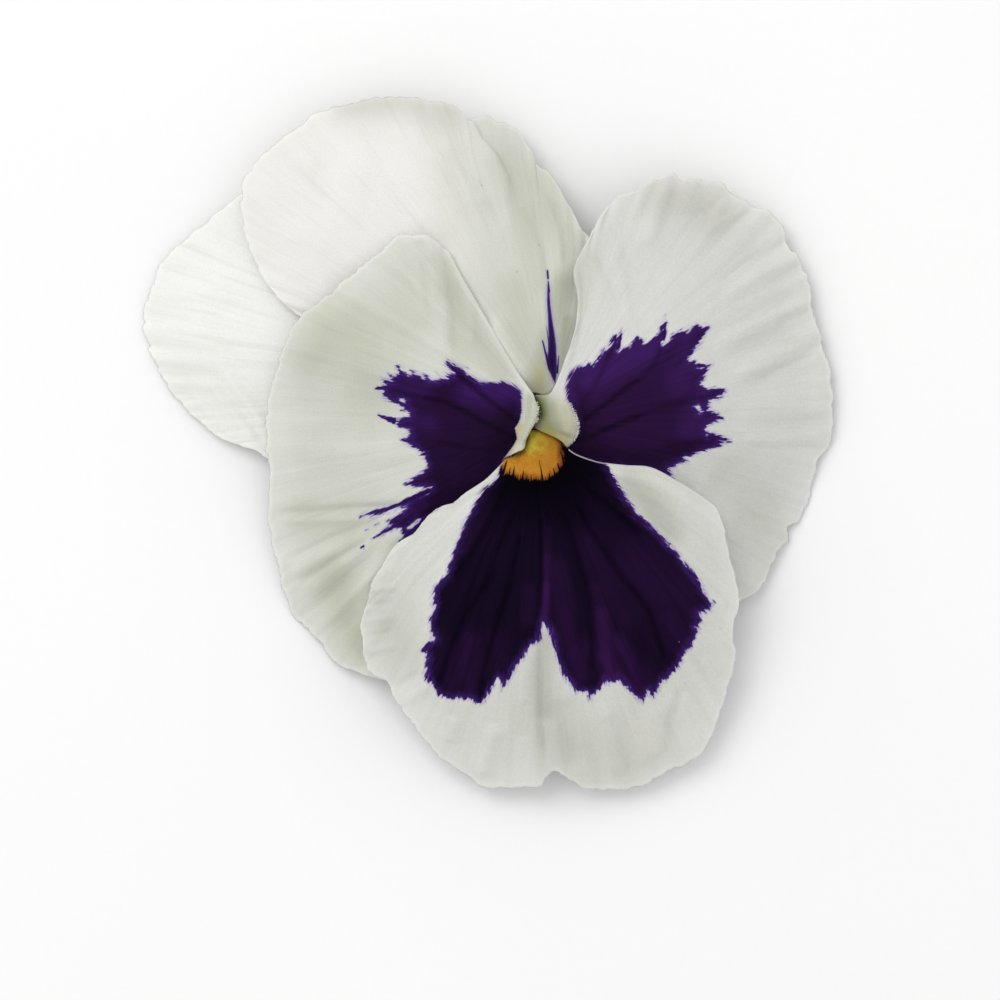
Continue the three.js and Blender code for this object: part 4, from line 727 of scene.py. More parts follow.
def petal_surface(part):
    """Mid-surface of a petal as [row, column]: claw rows, then blade rows."""
    P = PETALS[part]
    height = height_field(P["height"])
    v = np.linspace(0, 1, COLUMNS + 1)

    def blade_at(f, v):
        q = blade(P, f, v)
        return place(q, height(q)), q

    # blade, with a crenate margin and soft ruffles
    F, V = np.meshgrid(np.linspace(0, 1, ROWS + 1), v, indexing="ij")
    q = blade(P, F, V)
    rim_length = np.linalg.norm(np.diff(along(P["rim"], v), axis=0), axis=1).sum()
    seed = sum(map(ord, part))
    grow = unit(np.gradient(q, axis=0))
    ends = smooth(V, 0, 0.06) * smooth(1 - V, 0, 0.06)
    teeth = 0.095 * wobble(V, (rim_length / 1.6, rim_length / 0.75), seed) + 0.125 * wobble(V, (rim_length / 4, rim_length / 2), seed + 1)
    q = q + grow * (teeth * smooth(F, 0.9, 1.0) * ends)[..., None]
    z = height(q)
    z = z + 0.13 * wobble(V, (rim_length / 6, rim_length / 2.6), seed + 2) * smooth(F, 0.74, 1.0) * ends
    z = z + 0.05 * wobble(V, (rim_length / 2, rim_length / 1.1), seed + 3) * smooth(F, 0.88, 1.0)
    z = z + 0.016 * wobble(V, (16, 38), seed + 4) * smooth(F, 0.2, 0.7)
    z = z + 0.006 * wobble(V, (50, 90), seed + 5) * smooth(F, 0.4, 0.8)
    z = z + 0.05 * lumps(q, 5.0, seed + 6) * smooth(F, 0.1, 0.4)
    flat_q = q.copy()
    if part == "upper_right":          # one ruffle: the margin side of the petal folds back behind its middle
        line = SHEET(FOLD)
        r, t, side = to_line(q, line)
        s = r * side
        along_line = unit(np.array([line[-1] - line[0]]))[0]
        across = np.array([-along_line[1], along_line[0]])
        across = across * np.sign(across[0])
        fade = smooth(1 - t, 0.0, 0.75)
        tuck = smooth(1 - t, 0.3, 0.95)
        q = q - across * (s * 1.5 * tuck * np.exp(-(s / 1.15) ** 2))[..., None]
        z = z - 0.8 * fade * np.tanh(s / 1.25) * np.exp(-(s / 5.5) ** 2)
    B = place(q, z)
    # claw, from its foot to the lip
    C = []
    d0, _ = blade_at(np.zeros_like(v), v)
    d1, _ = blade_at(np.full_like(v, 0.03), v)
    if part == "lower":
        a = np.radians(75 - 150 * v)
        foot = MOUTH + SPUR_UP * (SPUR_R * np.cos(a))[:, None] + np.stack([SPUR_R * np.sin(a), 0 * a, 0 * a], -1)
        start = unit(np.array([[0, -0.35, 0.9]])) * np.ones((len(v), 1))
    else:
        f0, f1, lean = CLAWS[part]
        a = np.radians(f0 + (f1 - f0) * v)
        foot = np.stack([CENTRE[0] + CLAW_RADIUS * np.cos(a), CENTRE[1] + CLAW_RADIUS * np.sin(a), 0 * a + CLAW_BASE], -1)
        start = unit(np.stack([np.cos(a) * lean, np.sin(a) * lean, 1 + 0 * a], -1))
    d = np.linalg.norm(d0 - foot, axis=1, keepdims=True)
    ease = 0.3 * smooth(v, 0.45, 0.9)[:, None] if part == "lateral_left" else 0.0
    t0, t1 = start * d, unit(d1 - d0) * d * (0.9 - ease)
    for k in range(CLAW_ROWS):
        s = k / CLAW_ROWS
        C.append((2 * s**3 - 3 * s**2 + 1) * foot + (s**3 - 2 * s**2 + s) * t0 + (-2 * s**3 + 3 * s**2) * d0 + (s**3 - s**2) * t1)
    C = np.array(C)
    S = (np.arange(CLAW_ROWS) / CLAW_ROWS)[:, None]
    for amount, (v0, v1), (s0, s1) in CLAW_BULGE.get(part, []):
        w = smooth(v[None], v0, v1) if v1 > v0 else smooth(-v[None], -v0, -v1)
        C = C + np.array(amount) * (w * smooth(S, s0, (s0 + s1) / 2) * smooth(-S, -s1, -(s0 + s1) / 2))[..., None]
    mid = np.concatenate([C, B])
    row = np.r_[np.arange(CLAW_ROWS) / CLAW_ROWS - 1, np.linspace(0, 1, ROWS + 1)]
    # relief along the surface's own normal
    n = unit(np.cross(np.gradient(mid, axis=0), np.gradient(mid, axis=1)))
    if n[CLAW_ROWS + ROWS // 2:, :, 2].mean() < 0:
        n = -n
    seen = drawn(mid)
    seen[CLAW_ROWS:] = flat_q
    high = np.zeros(mid.shape[:2])
    for h, w, pts in RELIEF[part]:
        high += h * ridge(seen, pts, w)
    high[:CLAW_ROWS] *= smooth(row[:CLAW_ROWS], -0.75, -0.2)[:, None]
    mid = mid + n * high[..., None]
    return mid, row, v, seen, flat_q


def uv_layout(part, flat_q):
    """Boxes (x, y, width, height) on the texture for front, back, front of claw, back of claw and spur."""
    span = flat_q.reshape(-1, 2).max(0) - flat_q.reshape(-1, 2).min(0)
    turned = span[1] > span[0]
    w, h = (span[1], span[0]) if turned else (span[0], span[1])
    W = {"lower": 0.72, "upper_right": 0.84, "upper_left": 0.84}.get(part, 0.96)
    H = W * h / w
    left = 0.97 - H
    s = min(left / h, (0.55 if W < 0.9 else 0.62) / w)
    bw, bh = s * w, s * h
    boxes = {"front": (0.01, 0.01, W, H), "back": (0.01, 0.985 - bh, bw, bh)}
    x = bw + 0.03
    boxes["claw"] = (x, H + 0.025, (0.98 - x) / 2, left - 0.01)
    boxes["clawback"] = (x + (0.99 - x) / 2, H + 0.025, (0.98 - x) / 2, left - 0.01)
    if part == "lower":
        boxes["spur"], boxes["spurin"] = (0.75, 0.01, 0.24, 0.38), (0.75, 0.40, 0.24, 0.24)
    return boxes, turned


def in_box(box, a, b):
    return np.stack([box[0] + a * box[2], box[1] + b * box[3]], -1)


def paint(part, seen, vein, side):
    """Values at each vertex from which the material draws the petal's markings, its tints and its painted light and
    shade.
    """
    sd = inside_by(seen, BLOTCH[part]) if part in BLOTCH else np.full(seen.shape[:-1], -9.0)
    for s in BLOTCH_STROKES.get(part, []):
        sd = np.maximum(sd, stroke(seen, s) * 2.5)
    for s in BLOTCH_HOLES.get(part, []):
        sd = np.minimum(sd, -stroke(seen, s))
    out = {"blotch": np.clip(sd, -6, 6), "vein": vein, "face": np.concatenate([seen, side[..., None]], -1),
           "green": tint(seen, GREEN_AND_SHADE[part]), "yellow": tint(seen, YELLOW[part]), "violet": tint(seen, VIOLET.get(part, [])) if VIOLET.get(part) else 0 * side,
           "shade": tint(seen, SHADE[part]) if SHADE[part] else 0 * side,
           "light": tint(seen, PAINTED_LIGHT[part]) if part in PAINTED_LIGHT else 0 * side, "dusk": tint(seen, DUSK[part]) if part in DUSK else 0 * side}
    if part == "lower":
        out["throat"] = np.clip(inside_by(seen, THROAT), -5, 5)
        cut = np.full(seen.shape[:-1], -5.0)
        for s in TEETH:
            cut = np.maximum(cut, stroke(seen, s))
        out["teeth"] = cut
    return out


def spur_body():
    """A blunt tube with an open mouth: its outer and inner rings of points, the angle of each column and how far along
    each row is.
    """
    sides, rows = 40, 30

    def centre(s):
        s = np.asarray(s, float)[..., None]
        return MOUTH + SPUR_AXIS * s + np.array([0, -0.035, 0.018]) * s * s

    w = 2 * np.pi * np.arange(sides + 1) / sides
    u = np.linspace(0, 1, rows)
    s = SPUR_LENGTH * np.sin(u * np.pi / 2) ** 0.9
    R = (SPUR_R + 0.15 + (SPUR_TIP - SPUR_R) * s / SPUR_LENGTH) * np.sqrt(np.maximum(1 - np.maximum((s / SPUR_LENGTH - 0.78) / 0.22, 0) ** 2, 1e-4))
    R = R[:, None] * (1 + 0.035 * np.cos(5 * w + 0.6)[None] * smooth(u, 0.05, 0.4)[:, None] + 0.02 * np.cos(2 * w)[None])
    inner = np.maximum(R - 0.22, 0.02) * smooth(1 - u, 0.0, 0.12)[:, None] + 0.01

    def ring(r):
        return (centre(s)[:, None] + SPUR_UP * (r * np.cos(w))[..., None] + np.array([1.0, 0, 0]) * (r * np.sin(w))[..., None])
    return ring(R), ring(inner), w, u


def build_petal(part, material):
    mid, row, v, seen, flat_q = petal_surface(part)
    R, C = mid.shape[:2]
    f = row[:, None] * np.ones((1, C))
    half = 0.115 - 0.03 * smooth(f, 0.6, 1.0)
    verts, ff, fb, fi, bi, n, d = shell(mid, half)
    SURFACE[part] = (verts[fi], n, drawn(verts[fi]), f)
    V = np.ones((R, 1)) * v[None]
    r = np.linalg.norm(seen - np.array([4.9, -0.4]), axis=-1)
    vein = np.stack([V, r, f], -1)
    front = paint(part, seen, vein, np.where((d < 1e-6), 0.5, 1.0))
    back = paint(part, seen, vein, np.zeros((R, C)))
    c1 = np.cumsum(np.pad(np.linalg.norm(np.diff(mid, axis=1), axis=2), ((0, 0), (1, 0))), 1)
    front["edge"] = back["edge"] = np.where(f > 0.02, np.minimum(c1, c1[:, -1:] - c1), 5.0)
    values = {k: np.concatenate([front[k].reshape(R * C, -1), back[k][1:-1, 1:-1].reshape((R - 2) * (C - 2), -1)]) for k in front}
    boxes, turned = uv_layout(part, flat_q)
    lo, hi = flat_q.reshape(-1, 2).min(0), flat_q.reshape(-1, 2).max(0)
    plan = (flat_q - lo) / (hi - lo)
    a, b = (plan[..., 1], plan[..., 0]) if turned else (plan[..., 0], plan[..., 1])
    grid_v, grid_s = V[:CLAW_ROWS + 1], (row[:CLAW_ROWS + 1, None] + 1) * np.ones((1, C))

    def corners(index, blade_box, claw_box, mirror):
        blade_uv = np.zeros((R, C, 2))
        blade_uv[CLAW_ROWS:] = in_box(blade_box, 1 - a if mirror else a, b)
        claw_uv = in_box(claw_box, grid_v, grid_s)
        out = []
        i = np.arange(R * C).reshape(R, C)
        q = np.stack([i[:-1, :-1], i[1:, :-1], i[1:, 1:], i[:-1, 1:]], -1)
        uv = np.where((np.arange(R - 1) < CLAW_ROWS)[:, None, None, None],
                      np.concatenate([claw_uv, np.zeros((R - CLAW_ROWS - 1, C, 2))]).reshape(-1, 2)[q], blade_uv.reshape(-1, 2)[q])
        return uv
    flip = not np.array_equal(ff[0], [fi[0, 0], fi[1, 0], fi[1, 1], fi[0, 1]])
    uf, ub = corners(fi, boxes["front"], boxes["claw"], False), corners(bi, boxes["back"], boxes["clawback"], True)
    order, other = ([0, 1, 2, 3], [0, 3, 2, 1])
    uf = uf[:, :, order if not flip else other].reshape(-1, 2)
    ub = ub[:, :, other if not flip else order].reshape(-1, 2)
    faces, uvs = np.vstack([ff, fb]), [uf, ub]
    if part == "lower":
        outer, inner, w, u = spur_body()
        n0, rows, m = len(verts), outer.shape[0], outer.shape[1]
        extra = np.concatenate([outer[:, :-1].reshape(-1, 3), inner[:, :-1].reshape(-1, 3)])
        k = m - 1
        io = n0 + np.arange(rows * k).reshape(rows, k)
        ii = io + rows * k
        io, ii = np.c_[io, io[:, :1]], np.c_[ii, ii[:, :1]]
        fo = np.stack([io[:-1, :-1], io[:-1, 1:], io[1:, 1:], io[1:, :-1]], -1).reshape(-1, 4)
        fn = np.stack([ii[:-1, :-1], ii[1:, :-1], ii[1:, 1:], ii[:-1, 1:]], -1).reshape(-1, 4)
        lip_f = np.stack([io[0, :-1], ii[0, :-1], ii[0, 1:], io[0, 1:]], -1)
        W_, U_ = np.meshgrid(w / (2 * np.pi), u)
        so, si = in_box(boxes["spur"], W_, U_), in_box(boxes["spurin"], W_, U_)

        def quad(g, o):
            q = {"a": g[:-1, :-1], "b": g[:-1, 1:], "c": g[1:, 1:], "d": g[1:, :-1]}
            return np.stack([q[x] for x in o], 2).reshape(-1, 2)
        rim_uv = np.stack([so[0, :-1], so[0, :-1] * 0 + si[0, :-1], si[0, 1:], so[0, 1:]], 1).reshape(-1, 2)
        # which way the tube's faces point
        p = extra
        e = fo[rows // 2 * k] - n0
        nn = np.cross(p[e[1]] - p[e[0]], p[e[3]] - p[e[0]])
        out = p[e[0]] - outer[rows // 2, :-1].mean(0)
        if nn @ out < 0:
            fo, fn, lip_f = fo[:, ::-1], fn[:, ::-1], lip_f[:, ::-1]
            uo, un, rim_uv = quad(so, "dcba"), quad(si, "bcda"), rim_uv.reshape(-1, 4, 2)[:, ::-1].reshape(-1, 2)
        else:
            uo, un = quad(so, "abcd"), quad(si, "adcb")
        # the closed tip of each tube
        tip_o, tip_i = n0 + len(extra), n0 + len(extra) + 1
        extra = np.vstack([extra, outer[-1, :-1].mean(0), inner[-1, :-1].mean(0)])
        faces = faces.tolist() + fo.tolist() + fn.tolist() + lip_f.tolist()
        uvs += [uo, un, rim_uv]
        turn = nn @ out < 0
        tips = []
        for j in range(k):
            a0, a1 = io[-1, j], io[-1, j + 1]
            b0, b1 = ii[-1, j], ii[-1, j + 1]
            faces.append([a1, a0, tip_o] if turn else [a0, a1, tip_o])
            tips += [so[-1, j], so[-1, j], so[-1, j]]
            faces.append([b0, b1, tip_i] if turn else [b1, b0, tip_i])
            tips += [si[-1, j], si[-1, j], si[-1, j]]
        uvs.append(np.array(tips))
        verts = np.vstack([verts, extra])
        E = len(extra)
        sp = drawn(extra)
        uu = np.r_[np.repeat(u, k), np.repeat(u, k), 1, 1]
        ww = np.r_[np.tile(w[:-1] / (2 * np.pi), rows), np.tile(w[:-1] / (2 * np.pi), rows), 0, 0]
        outside = np.r_[np.ones(rows * k), np.zeros(rows * k), 1, 0]
        spur_values = {"blotch": np.full(E, -5.0), "vein": np.stack([ww, uu * 5 + 2, uu], -1), "face": np.concatenate([sp, (1 - outside * 1.0)[:, None]], -1),
                       "green": 0.55 * smooth(uu, 0.55, 1.0) + 0.15, "yellow": np.where(outside > 0, 0.0, 0.8), "violet": 0 * uu, "shade": 0 * uu, "light": 0 * uu, "dusk": 0 * uu,
                       "throat": np.full(E, -5.0), "teeth": np.full(E, -5.0), "edge": np.full(E, 5.0)}
        values = {kk: np.concatenate([values[kk], spur_values[kk].reshape(E, -1)]) for kk in values}
    values = {kk: (vv if vv.shape[1] == 3 else vv[:, 0]) for kk, vv in values.items()}
    return mesh_object("petal_" + part + "_soft", verts, faces if isinstance(faces, list) else faces.tolist(), material, values, np.vstack(uvs), ["petal_" + part])


INK = dict(bright=RGB(56, 26, 90), inner=RGB(36, 16, 50), dark=RGB(18, 8, 22))
# Ground tones: the upper petals are whiter and the lateral and lower petals greyer, partly the petals' own creamier
# colour and partly painted shade for light falling from the upper left; the upper right petal's fade to a greyer colour
# towards its right side is painted shade.
for part, tone, tone2, seed, slot, ink in (
        ("lower", RGB(216, 216, 211), RGB(210, 211, 203), 1, "petal_lower", dict(bright=RGB(52, 26, 84), inner=RGB(20, 10, 31), dark=RGB(3, 2, 7), glow=RGB(60, 24, 80), dark_from=3.0, dark_to=11.0)),
        ("lateral_left", RGB(210, 212, 203), RGB(204, 206, 195), 2, "petal_lateral", dict(INK, dark_from=2.0, dark_to=6.5)),
        ("lateral_right", RGB(214, 214, 210), RGB(209, 210, 205), 3, "petal_lateral", dict(INK, bright=RGB(60, 29, 92), inner=RGB(42, 19, 58), dark_from=2.0, dark_to=8.0)),
        ("upper_right", RGB(241, 238, 235), RGB(235, 233, 228), 4, "petal_upper", dict(bright=RGB(40, 24, 56), inner=RGB(30, 15, 42), dark=RGB(24, 11, 34), fade=(-10.0, 4.0, RGB(213, 215, 206)), dark_from=1.0, dark_to=2.0, ragged_by=0.12, fine_by=0.10)),
        ("upper_left", RGB(247, 247, 244), RGB(245, 246, 241), 5, "petal_upper", dict(INK, dark_from=1.0, dark_to=2.0))):
    build_petal(part, petal_material(part, tone, tone2, seed, throat=part == "lower", **ink))
# ------------------------------------------------------------------ beards
def papillae(name, part, path, width, count, length, radius, material, seed, outward, surface_min=-9.0):
    """Short club-shaped hairs that stand on a petal beside a drawn path."""
    pos, normal, seen, f = SURFACE[part]
    P, N, Q = pos.reshape(-1, 3), normal.reshape(-1, 3), seen.reshape(-1, 2)
    ok = (N[:, 2] > surface_min) & (P[:, 2] > 6.5)
    P, N, Q = P[ok], N[ok], Q[ok]
    r = np.random.default_rng(seed)
    line = SHEET(path)
    parts = []
    for _ in range(count):
        t = r.uniform()
        q = along(line, t) + r.normal(0, width, 2)
        i = int(np.argmin(((Q - q) ** 2).sum(1) - 0.004 * P[:, 2]))
        base, n = P[i], N[i]
        o = np.array([*outward, 0.0])
        direction = unit(n + o * r.uniform(0.4, 1.2) + r.normal(0, 0.28, 3))
        L, R = length * r.uniform(0.6, 1.25), radius * r.uniform(0.8, 1.25)
        s = np.array([-0.15, 0.0, 0.3, 0.55, 0.75, 0.9, 1.0])
        wide = R * np.array([0.8, 0.75, 0.7, 0.85, 1.05, 0.85, 0.35])
        bend = unit(r.normal(0, 1, 3)) * 0.12 * L
        path3 = base + direction * (s * L)[:, None] + bend * (np.maximum(s, 0) ** 2)[:, None]
        parts.append(tube(path3, wide, wide, 7, (0.3, 0.5, 0.81), cap=R * 0.12))
    V, F, H = joined(parts)
    return mesh_object(name, V, F, material, {"along": np.stack([np.tile(np.arange(7) / 7, len(V))[:len(V)], H, 0 * H], -1)}, None)


beard = plant_material("beard_hairs", RGB(232, 231, 214), RGB(218, 216, 190), RGB(188, 186, 146), 1.0, tip=RGB(243, 242, 232), tip_from=0.55, tip_to=0.9, roughness=0.4, specular=0.3)
papillae("beard_left", "lateral_left", [(536, 402), (537, 410), (536, 417), (534, 425)], 0.05, 60, 0.20, 0.026, beard, 3, (0.9, 0.1))
papillae("beard_left_inner", "lateral_left", [(534, 402), (534, 412), (530, 426), (524, 440)], 0.07, 40, 0.12, 0.022, beard, 13, (0.5, 0.0))
papillae("beard_right", "lateral_right", [(570, 405), (574.5, 414), (577.5, 423), (577, 433), (573, 441)], 0.05, 150, 0.17, 0.022, beard, 5, (0.9, -0.3))
papillae("beard_right_face", "lateral_right", [(571, 410), (574, 420), (574, 430), (569, 440)], 0.10, 90, 0.05, 0.017, beard, 6, (0.2, -0.1))

# ------------------------------------------------------------------ calyx
SEPAL_LENGTH, SEPAL_WIDTH, ATTACH = 11.5, 3.9, 2.95
sepal_green = plant_material("sepal_green", RGB(134, 158, 88), RGB(104, 134, 62), RGB(70, 98, 42), 1.0, tip=RGB(126, 120, 82), tip_from=0.93, tip_to=1.02, stretch=14.0, edge=RGB(186, 200, 150))


def sepal(name, direction, tip, turn, seed):
    rows, cols = 84, 30
    a = math.radians(direction)
    out, side = np.array([math.cos(a), math.sin(a)]), np.array([-math.sin(a), math.cos(a)])
    line = [(ATTACH + 2.0, 0.26), (ATTACH + 1.15, 1.1), (ATTACH + 0.3, 2.2), (ATTACH + 0.05, 3.1), (ATTACH + 0.9, 3.85),
            (ATTACH + 3.2, 3.85 + (tip - 3.85) * 0.42), (ATTACH + 6.0, 3.85 + (tip - 3.85) * 0.8), (SEPAL_LENGTH, tip)]
    t = np.linspace(0, 1, rows + 1)
    dz = along(line, t)
    half = np.interp(t, [0, .03, .08, .2, .32, .42, .55, .72, .88, .96, 1], [.25, .75, 1.0, 1.05, .85, 1.3, SEPAL_WIDTH / 2, 1.62, .82, .34, .05])
    half = np.convolve(np.pad(half, 3, mode="edge"), np.ones(7) / 7, "valid")
    half = half * (1 + 0.10 * np.abs(np.sin(t * 60)) * smooth(0.14 - t, 0, 0.1)) * (1 + 0.012 * wobble(t, (8, 20), seed))
    s = np.linspace(-1, 1, cols + 1)
    T, S = np.meshgrid(t, s, indexing="ij")
    w = half[:, None] * S
    bend = turn * T * T
    q = CENTRE + out * dz[:, :1, None].reshape(-1, 1, 1) + side * (w + bend)[..., None]
    z = dz[:, 1][:, None] + 0.16 * half[:, None] * S * S
    z = z - 0.05 * np.exp(-(S / 0.12) ** 2) * smooth(T, 0.3, 0.5) + 0.02 * np.cos(S * 14) * smooth(1 - np.abs(S), 0, 0.3) * smooth(T, 0.3, 0.5)
    mid = np.concatenate([q, z[..., None]], -1)
    verts, ff, fb, fi, bi, n, d = shell(mid, 0.17 - 0.05 * np.abs(S), 0.18, up=np.array([0, 0, 1.0]))
    k = len(verts) - fi.size
    R, C = fi.shape
    def both(x):
        return np.concatenate([x.reshape(-1), x[1:-1, 1:-1].reshape(-1)])
    values = {"along": np.stack([both(S * 0.5 + 0.5), both(T), both(np.abs(S))], -1)}
    mesh_object(name + "_leaf", verts, np.vstack([ff, fb]).tolist(), sepal_green, values, None, [name])


for i, (name, direction, tip, turn) in enumerate((("upper", 86, 5.2, 0.4), ("upper_left", 160, 4.3, -0.4), ("upper_right", 20, 7.4, 0.3),
                                                  ("lower_left", 226, 7.4, 0.3), ("lower_right", 318, 7.4, -0.3))):
    sepal("sepal_" + name, direction, tip, turn, i + 20)

# ------------------------------------------------------------------ receptacle and stalk
stalk_green = plant_material("stalk_green", RGB(150, 172, 104), RGB(124, 150, 78), RGB(88, 112, 52), 1.0, stretch=9.0, tip=RGB(196, 204, 156), tip_from=0.992, tip_to=1.0)
profile = np.array([(0.0, 2.72), (0.6, 2.71), (1.1, 2.72), (1.5, 2.78), (1.9, 2.95), (2.15, 3.12), (2.3, 3.35), (2.3, 3.5), (2.2, 3.66), (2.05, 3.76), (1.85, 3.79), (1.2, 3.8), (0.0, 3.8)])
u = np.linspace(0, 1, 46)
prof = along(profile, u)
prof[:, 0] = np.maximum(prof[:, 0], 0)
w = 2 * np.pi * np.arange(96) / 96
notch = 1 - 0.27 * np.exp(-((((w - 1.5 * np.pi + np.pi) % (2 * np.pi)) - np.pi) / 0.62) ** 2)
rr = prof[:, 0][:, None] * notch[None] * (1 + 0.012 * np.cos(15 * w)[None] * smooth(prof[:, 0], 1.2, 2.0)[:, None])
cap = np.stack([CENTRE[0] + rr * np.cos(w), CENTRE[1] + rr * np.sin(w), prof[:, 1][:, None] + 0 * rr], -1)
V = np.vstack([cap[1:-1].reshape(-1, 3), [CENTRE[0], CENTRE[1], profile[0, 1]], [CENTRE[0], CENTRE[1], profile[-1, 1]]])
rows, m = 44, 96
ix = np.arange(rows * m).reshape(rows, m)
jx = np.roll(ix, -1, axis=1)
F = np.stack([ix[:-1], jx[:-1], jx[1:], ix[1:]], -1).reshape(-1, 4).tolist()
for q in range(m):
    p = (q + 1) % m
    F += [[rows * m, p, q], [rows * m + 1, (rows - 1) * m + q, (rows - 1) * m + p]]
al = np.stack([np.r_[np.tile(w / (2 * np.pi), rows), 0, 0], np.r_[np.repeat(u[1:-1], m), 0, 1] * 0.7, 0 * np.arange(rows * m + 2)], -1)
mesh_object("receptacle_body", V, F, stalk_green, {"along": al}, None, ["receptacle"])

sd = np.array([math.cos(math.radians(122)), math.sin(math.radians(122))])
stalk_line = [(-0.1, 2.1), (0.04, 1.72), (0.5, 1.22), (1.4, 0.97), (3, 0.92), (7, 0.92), (11, 0.96), (15.0, 0.92)]
t = np.linspace(0, 1, 120)
dz = along(stalk_line, t)
path = np.stack([CENTRE[0] + sd[0] * dz[:, 0] - sd[1] * 0.01 * dz[:, 0] ** 2, CENTRE[1] + sd[1] * dz[:, 0] + sd[0] * 0.01 * dz[:, 0] ** 2, dz[:, 1]], -1)
end = path[-1] - path[-2]
end = end / np.linalg.norm(end)
# the cut end: a low rim, then a flat face with a shallow hollow
path = np.vstack([path, path[-1] + end * 0.04, path[-1] + end * 0.05, path[-1] + end * 0.045, path[-1] + end * 0.0, path[-1] - end * 0.03])
rad = np.r_[np.full(120, 0.88), 0.86, 0.78, 0.6, 0.4, 0.15]
tt = np.gradient(path, axis=0)
V, F, H = tube(path[:120], rad[:120], rad[:120], 40, (-sd[1], sd[0], 0), lambda a, h: 1 - 0.03 * (1 - np.cos(5 * a)) / 2 + 0.008 * np.sin(9 * a + 20 * h), 0.0)
V, F = V[:-1], [f for f in F if len(V) - 1 not in f]
ring0 = V[119 * 40:120 * 40]
c0 = ring0.mean(0)
rings = [c0 + (ring0 - c0) * k + end * h for k, h in ((0.985, 0.03), (0.93, 0.045), (0.8, 0.04), (0.62, 0.01), (0.5, 0.02), (0.3, -0.02), (0.12, -0.05))]
base = len(V)
V = np.vstack([V] + rings + [c0 + end * -0.06])
prev = np.arange(119 * 40, 120 * 40)
for i in range(len(rings)):
    cur = base + i * 40 + np.arange(40)
    F += np.stack([prev, np.roll(prev, -1), np.roll(cur, -1), cur], -1).tolist()
    prev = cur
F += [[int(prev[i]), int(prev[(i + 1) % 40]), len(V) - 1] for i in range(40)]
H = np.r_[np.repeat(np.linspace(0, 0.985, 120), 40), 0, np.repeat(1.0, 40 * len(rings)), 1.0]
A = np.r_[np.tile(np.arange(40) / 40, 120), 0, np.tile(np.arange(40) / 40, len(rings)), 0]
mesh_object("peduncle_stalk", V, F, stalk_green, {"along": np.stack([A, H, 0 * H], -1)}, None, ["peduncle"])

# ------------------------------------------------------------------ pistil and stamens
pistil_green = plant_material("pistil_green", RGB(190, 198, 150), RGB(168, 180, 124), RGB(134, 148, 92), 1.0, tip=RGB(206, 210, 168), tip_from=0.7, tip_to=0.95)
pp = [(0, 0, 4.15), (0, 0, 4.45), (0, 0, 5.0), (0, 0, 5.6), (0.01, 0, 6.05), (0.04, -0.02, 6.4), (0.08, -0.08, 6.9), (0.1, -0.16, 7.3), (0.13, -0.22, 7.75), (0.17, -0.27, 8.2), (0.17, -0.3, 8.6), (0.17, -0.32, 8.85)]
pr = [0.3, 0.5, 0.6, 0.48, 0.27, 0.19, 0.19, 0.26, 0.42, 0.48, 0.36, 0.14]
t = np.linspace(0, 1, 70)
path = along([(CENTRE[0] + x, CENTRE[1] + y, z) for x, y, z in pp], t)
L = np.r_[0, np.cumsum(np.linalg.norm(np.diff(np.array(pp), axis=0), axis=1))]
rad = along(np.stack([L / L[-1], pr], -1), t)
rad = np.interp(t, rad[:, 0], rad[:, 1])
V, F, H = tube(path, rad, rad, 30, (0, 1, 0), lambda a, h: 1 + 0.05 * np.cos(3 * a) * smooth(0.35 - h, 0, 0.2) + 0.0 * a, 0.05)
# the hollow in the stigma's face, seen from the throat's lower side
head = np.array([CENTRE[0] + 0.17, CENTRE[1] - 0.27, 8.2])
look = unit(np.array([0.25, -0.75, 0.6]))
e = V - head
m = (e @ look) / (np.linalg.norm(e, axis=1) + 1e-9)
dent = np.where(np.linalg.norm(e, axis=1) < 0.66, 0.22 * smooth(m, 0.86, 0.98) - 0.03 * np.exp(-((m - 0.82) / 0.05) ** 2), 0)
V = V - unit(e) * dent[:, None]
mesh_object("pistil_body", V, F, pistil_green, {"along": np.stack([np.r_[np.tile(np.arange(30) / 30, 70), 0, 0], H, 0 * H], -1)}, None, ["pistil"])

anther = plant_material("anther", RGB(226, 206, 150), RGB(212, 186, 122), RGB(176, 146, 82), 1.0, tip=RGB(202, 112, 38), tip_from=0.74, tip_to=0.86)


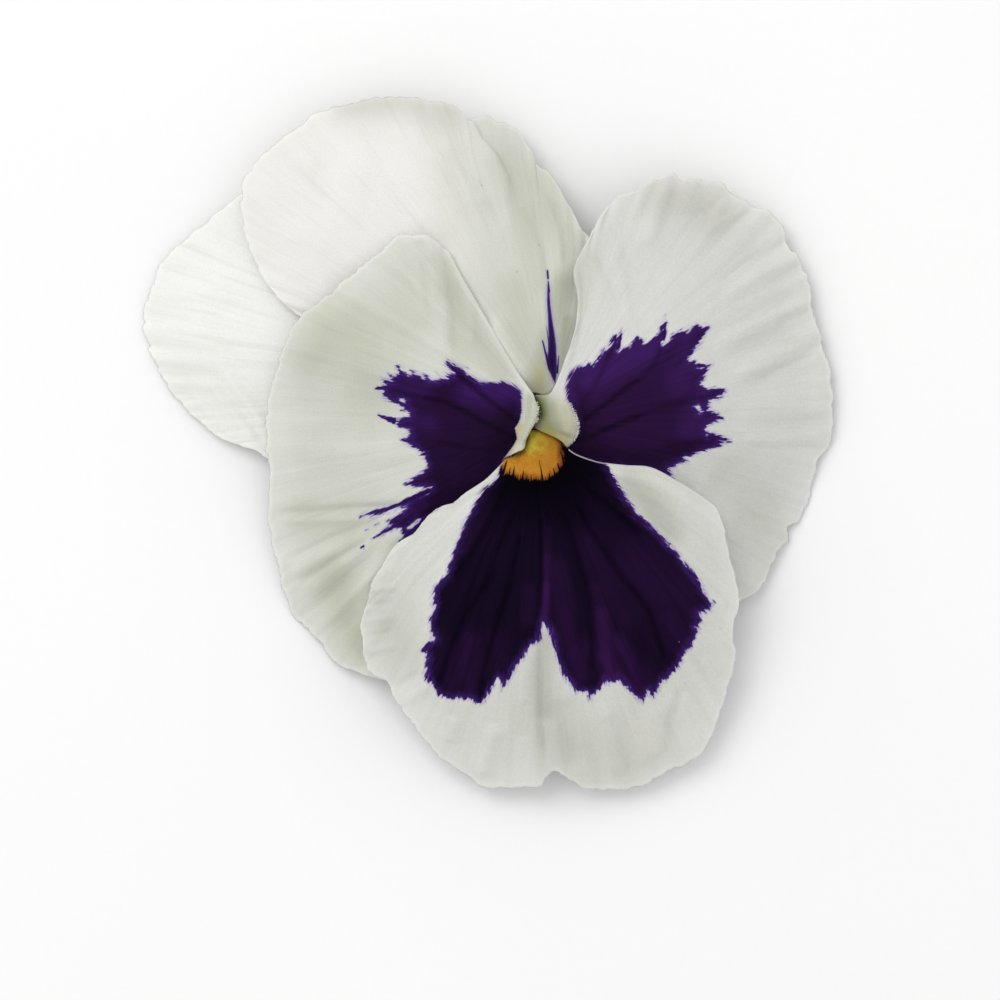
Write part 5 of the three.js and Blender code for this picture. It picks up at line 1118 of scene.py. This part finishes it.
def stamen(name, direction, horn):
    a = math.radians(direction)
    out = np.array([math.cos(a), math.sin(a), 0.0])
    hs = np.linspace(0, 2.45, 40)
    drop = np.interp(hs, [0, 1.85, 2.1, 2.45], [0, 0, -0.03, -0.1])
    path = np.array([[CENTRE[0], CENTRE[1], 4.15 + h] for h in hs]) + out * (1.13 - 0.05 * hs + drop)[:, None]
    wd = np.interp(hs, [0, .22, .7, 1.3, 1.85, 2.1, 2.3, 2.45], [.16, .36, .42, .42, .37, .28, .16, .07])
    th = np.interp(hs, [0, .22, .7, 1.3, 1.85, 2.1, 2.3, 2.45], [.10, .17, .21, .21, .16, .09, .06, .04])
    body = tube(path, wd, th, 26, out, lambda w, h: 1 - 0.16 * np.abs(np.sin(w)) ** 6 * smooth(h, 0.05, 0.2) * smooth(0.85 - h, 0, 0.15) + 0.02 * np.cos(2 * w), 0.02)
    parts = [body]
    if horn:
        start = np.array([CENTRE[0], CENTRE[1], 5.0]) + out * 1.15

        def inside(s, up):
            return MOUTH + SPUR_AXIS * s + np.array([horn * 0.27, 0, up])
        way = [start, start + np.array([horn * -0.12, -0.34, 0.18]), inside(0.32, 0.22), inside(1.3, 0), inside(2.2, 0)]
        pth = along(way, np.linspace(0, 1, 40))
        v, f, h = tube(pth, np.interp(np.linspace(0, 1, 40), [0, .5, .85, 1], [.12, .12, .13, .06]), np.interp(np.linspace(0, 1, 40), [0, .5, .85, 1], [.12, .12, .13, .06]), 14, (1, 0, 0), None, 0.03)
        parts.append((v, f, h * 0.5))
    V, F, H = joined(parts)
    A = np.tile(np.arange(26) / 26, len(V))[:len(V)]
    mesh_object(name + "_body", V, F, anther, {"along": np.stack([A, H, 0 * H], -1)}, None, [name])


for name, direction, horn in (("upper", 90, 0), ("upper_left", 162, 0), ("upper_right", 18, 0), ("lower_left", 234, -1), ("lower_right", 306, 1)):
    stamen("stamen_" + name, direction, horn)
# ------------------------------------------------------------------ table, light, camera
bpy.ops.mesh.primitive_plane_add(size=3.0, location=(0, 0, 0))
table = bpy.context.object
table.name = "table"
g = Graph("table_white")
co = g.new("ShaderNodeTexCoord").outputs["Object"]
soft = g.noise(co, 9.0, 3.0, 0.5)
grain = g.noise(co, 900.0, 2.0, 0.5)
col = g.mix(g.smooth(soft, 0.3, 0.7), RGB(252, 252, 252), RGB(250, 250, 251))
col = g.mix(g.times(g.smooth(grain, 0.5, 0.7), 0.25), col, RGB(249, 249, 249))
table.data.materials.append(g.finish(col, 0.7, 0.1, grain, 0.02))

world = bpy.data.worlds.new("studio")
bpy.context.scene.world = world
world.use_nodes = True
world.node_tree.nodes["Background"].inputs["Color"].default_value = (1.0, 1.0, 1.0, 1.0)
world.node_tree.nodes["Background"].inputs["Strength"].default_value = 0.80


def area(name, at, aim, size, power, colour=(1, 1, 1)):
    light = bpy.data.lights.new(name, "AREA")
    light.energy, light.size, light.color = power, size, colour
    ob = bpy.data.objects.new(name, light)
    bpy.context.scene.collection.objects.link(ob)
    ob.location = at
    from mathutils import Vector
    ob.rotation_mode = "QUATERNION"
    ob.rotation_quaternion = (Vector(aim) - Vector(at)).to_track_quat("-Z", "Y")
    return ob


area("key", (-0.36, 0.44, 0.72), (0, 0, 0), 0.55, 2.6, (1.0, 0.995, 0.985))

camera = bpy.data.cameras.new("camera")
camera.sensor_width, camera.lens, camera.clip_start, camera.clip_end = 36.0, 216.0, 0.05, 10.0
cam = bpy.data.objects.new("camera", camera)
bpy.context.scene.collection.objects.link(cam)
cam.location = (0.00115, -0.00565, 0.611)
cam.rotation_euler = (0, 0, 0)
bpy.context.scene.camera = cam
bpy.context.scene.view_settings.view_transform = "Standard"
bpy.context.scene.view_settings.look = "None"
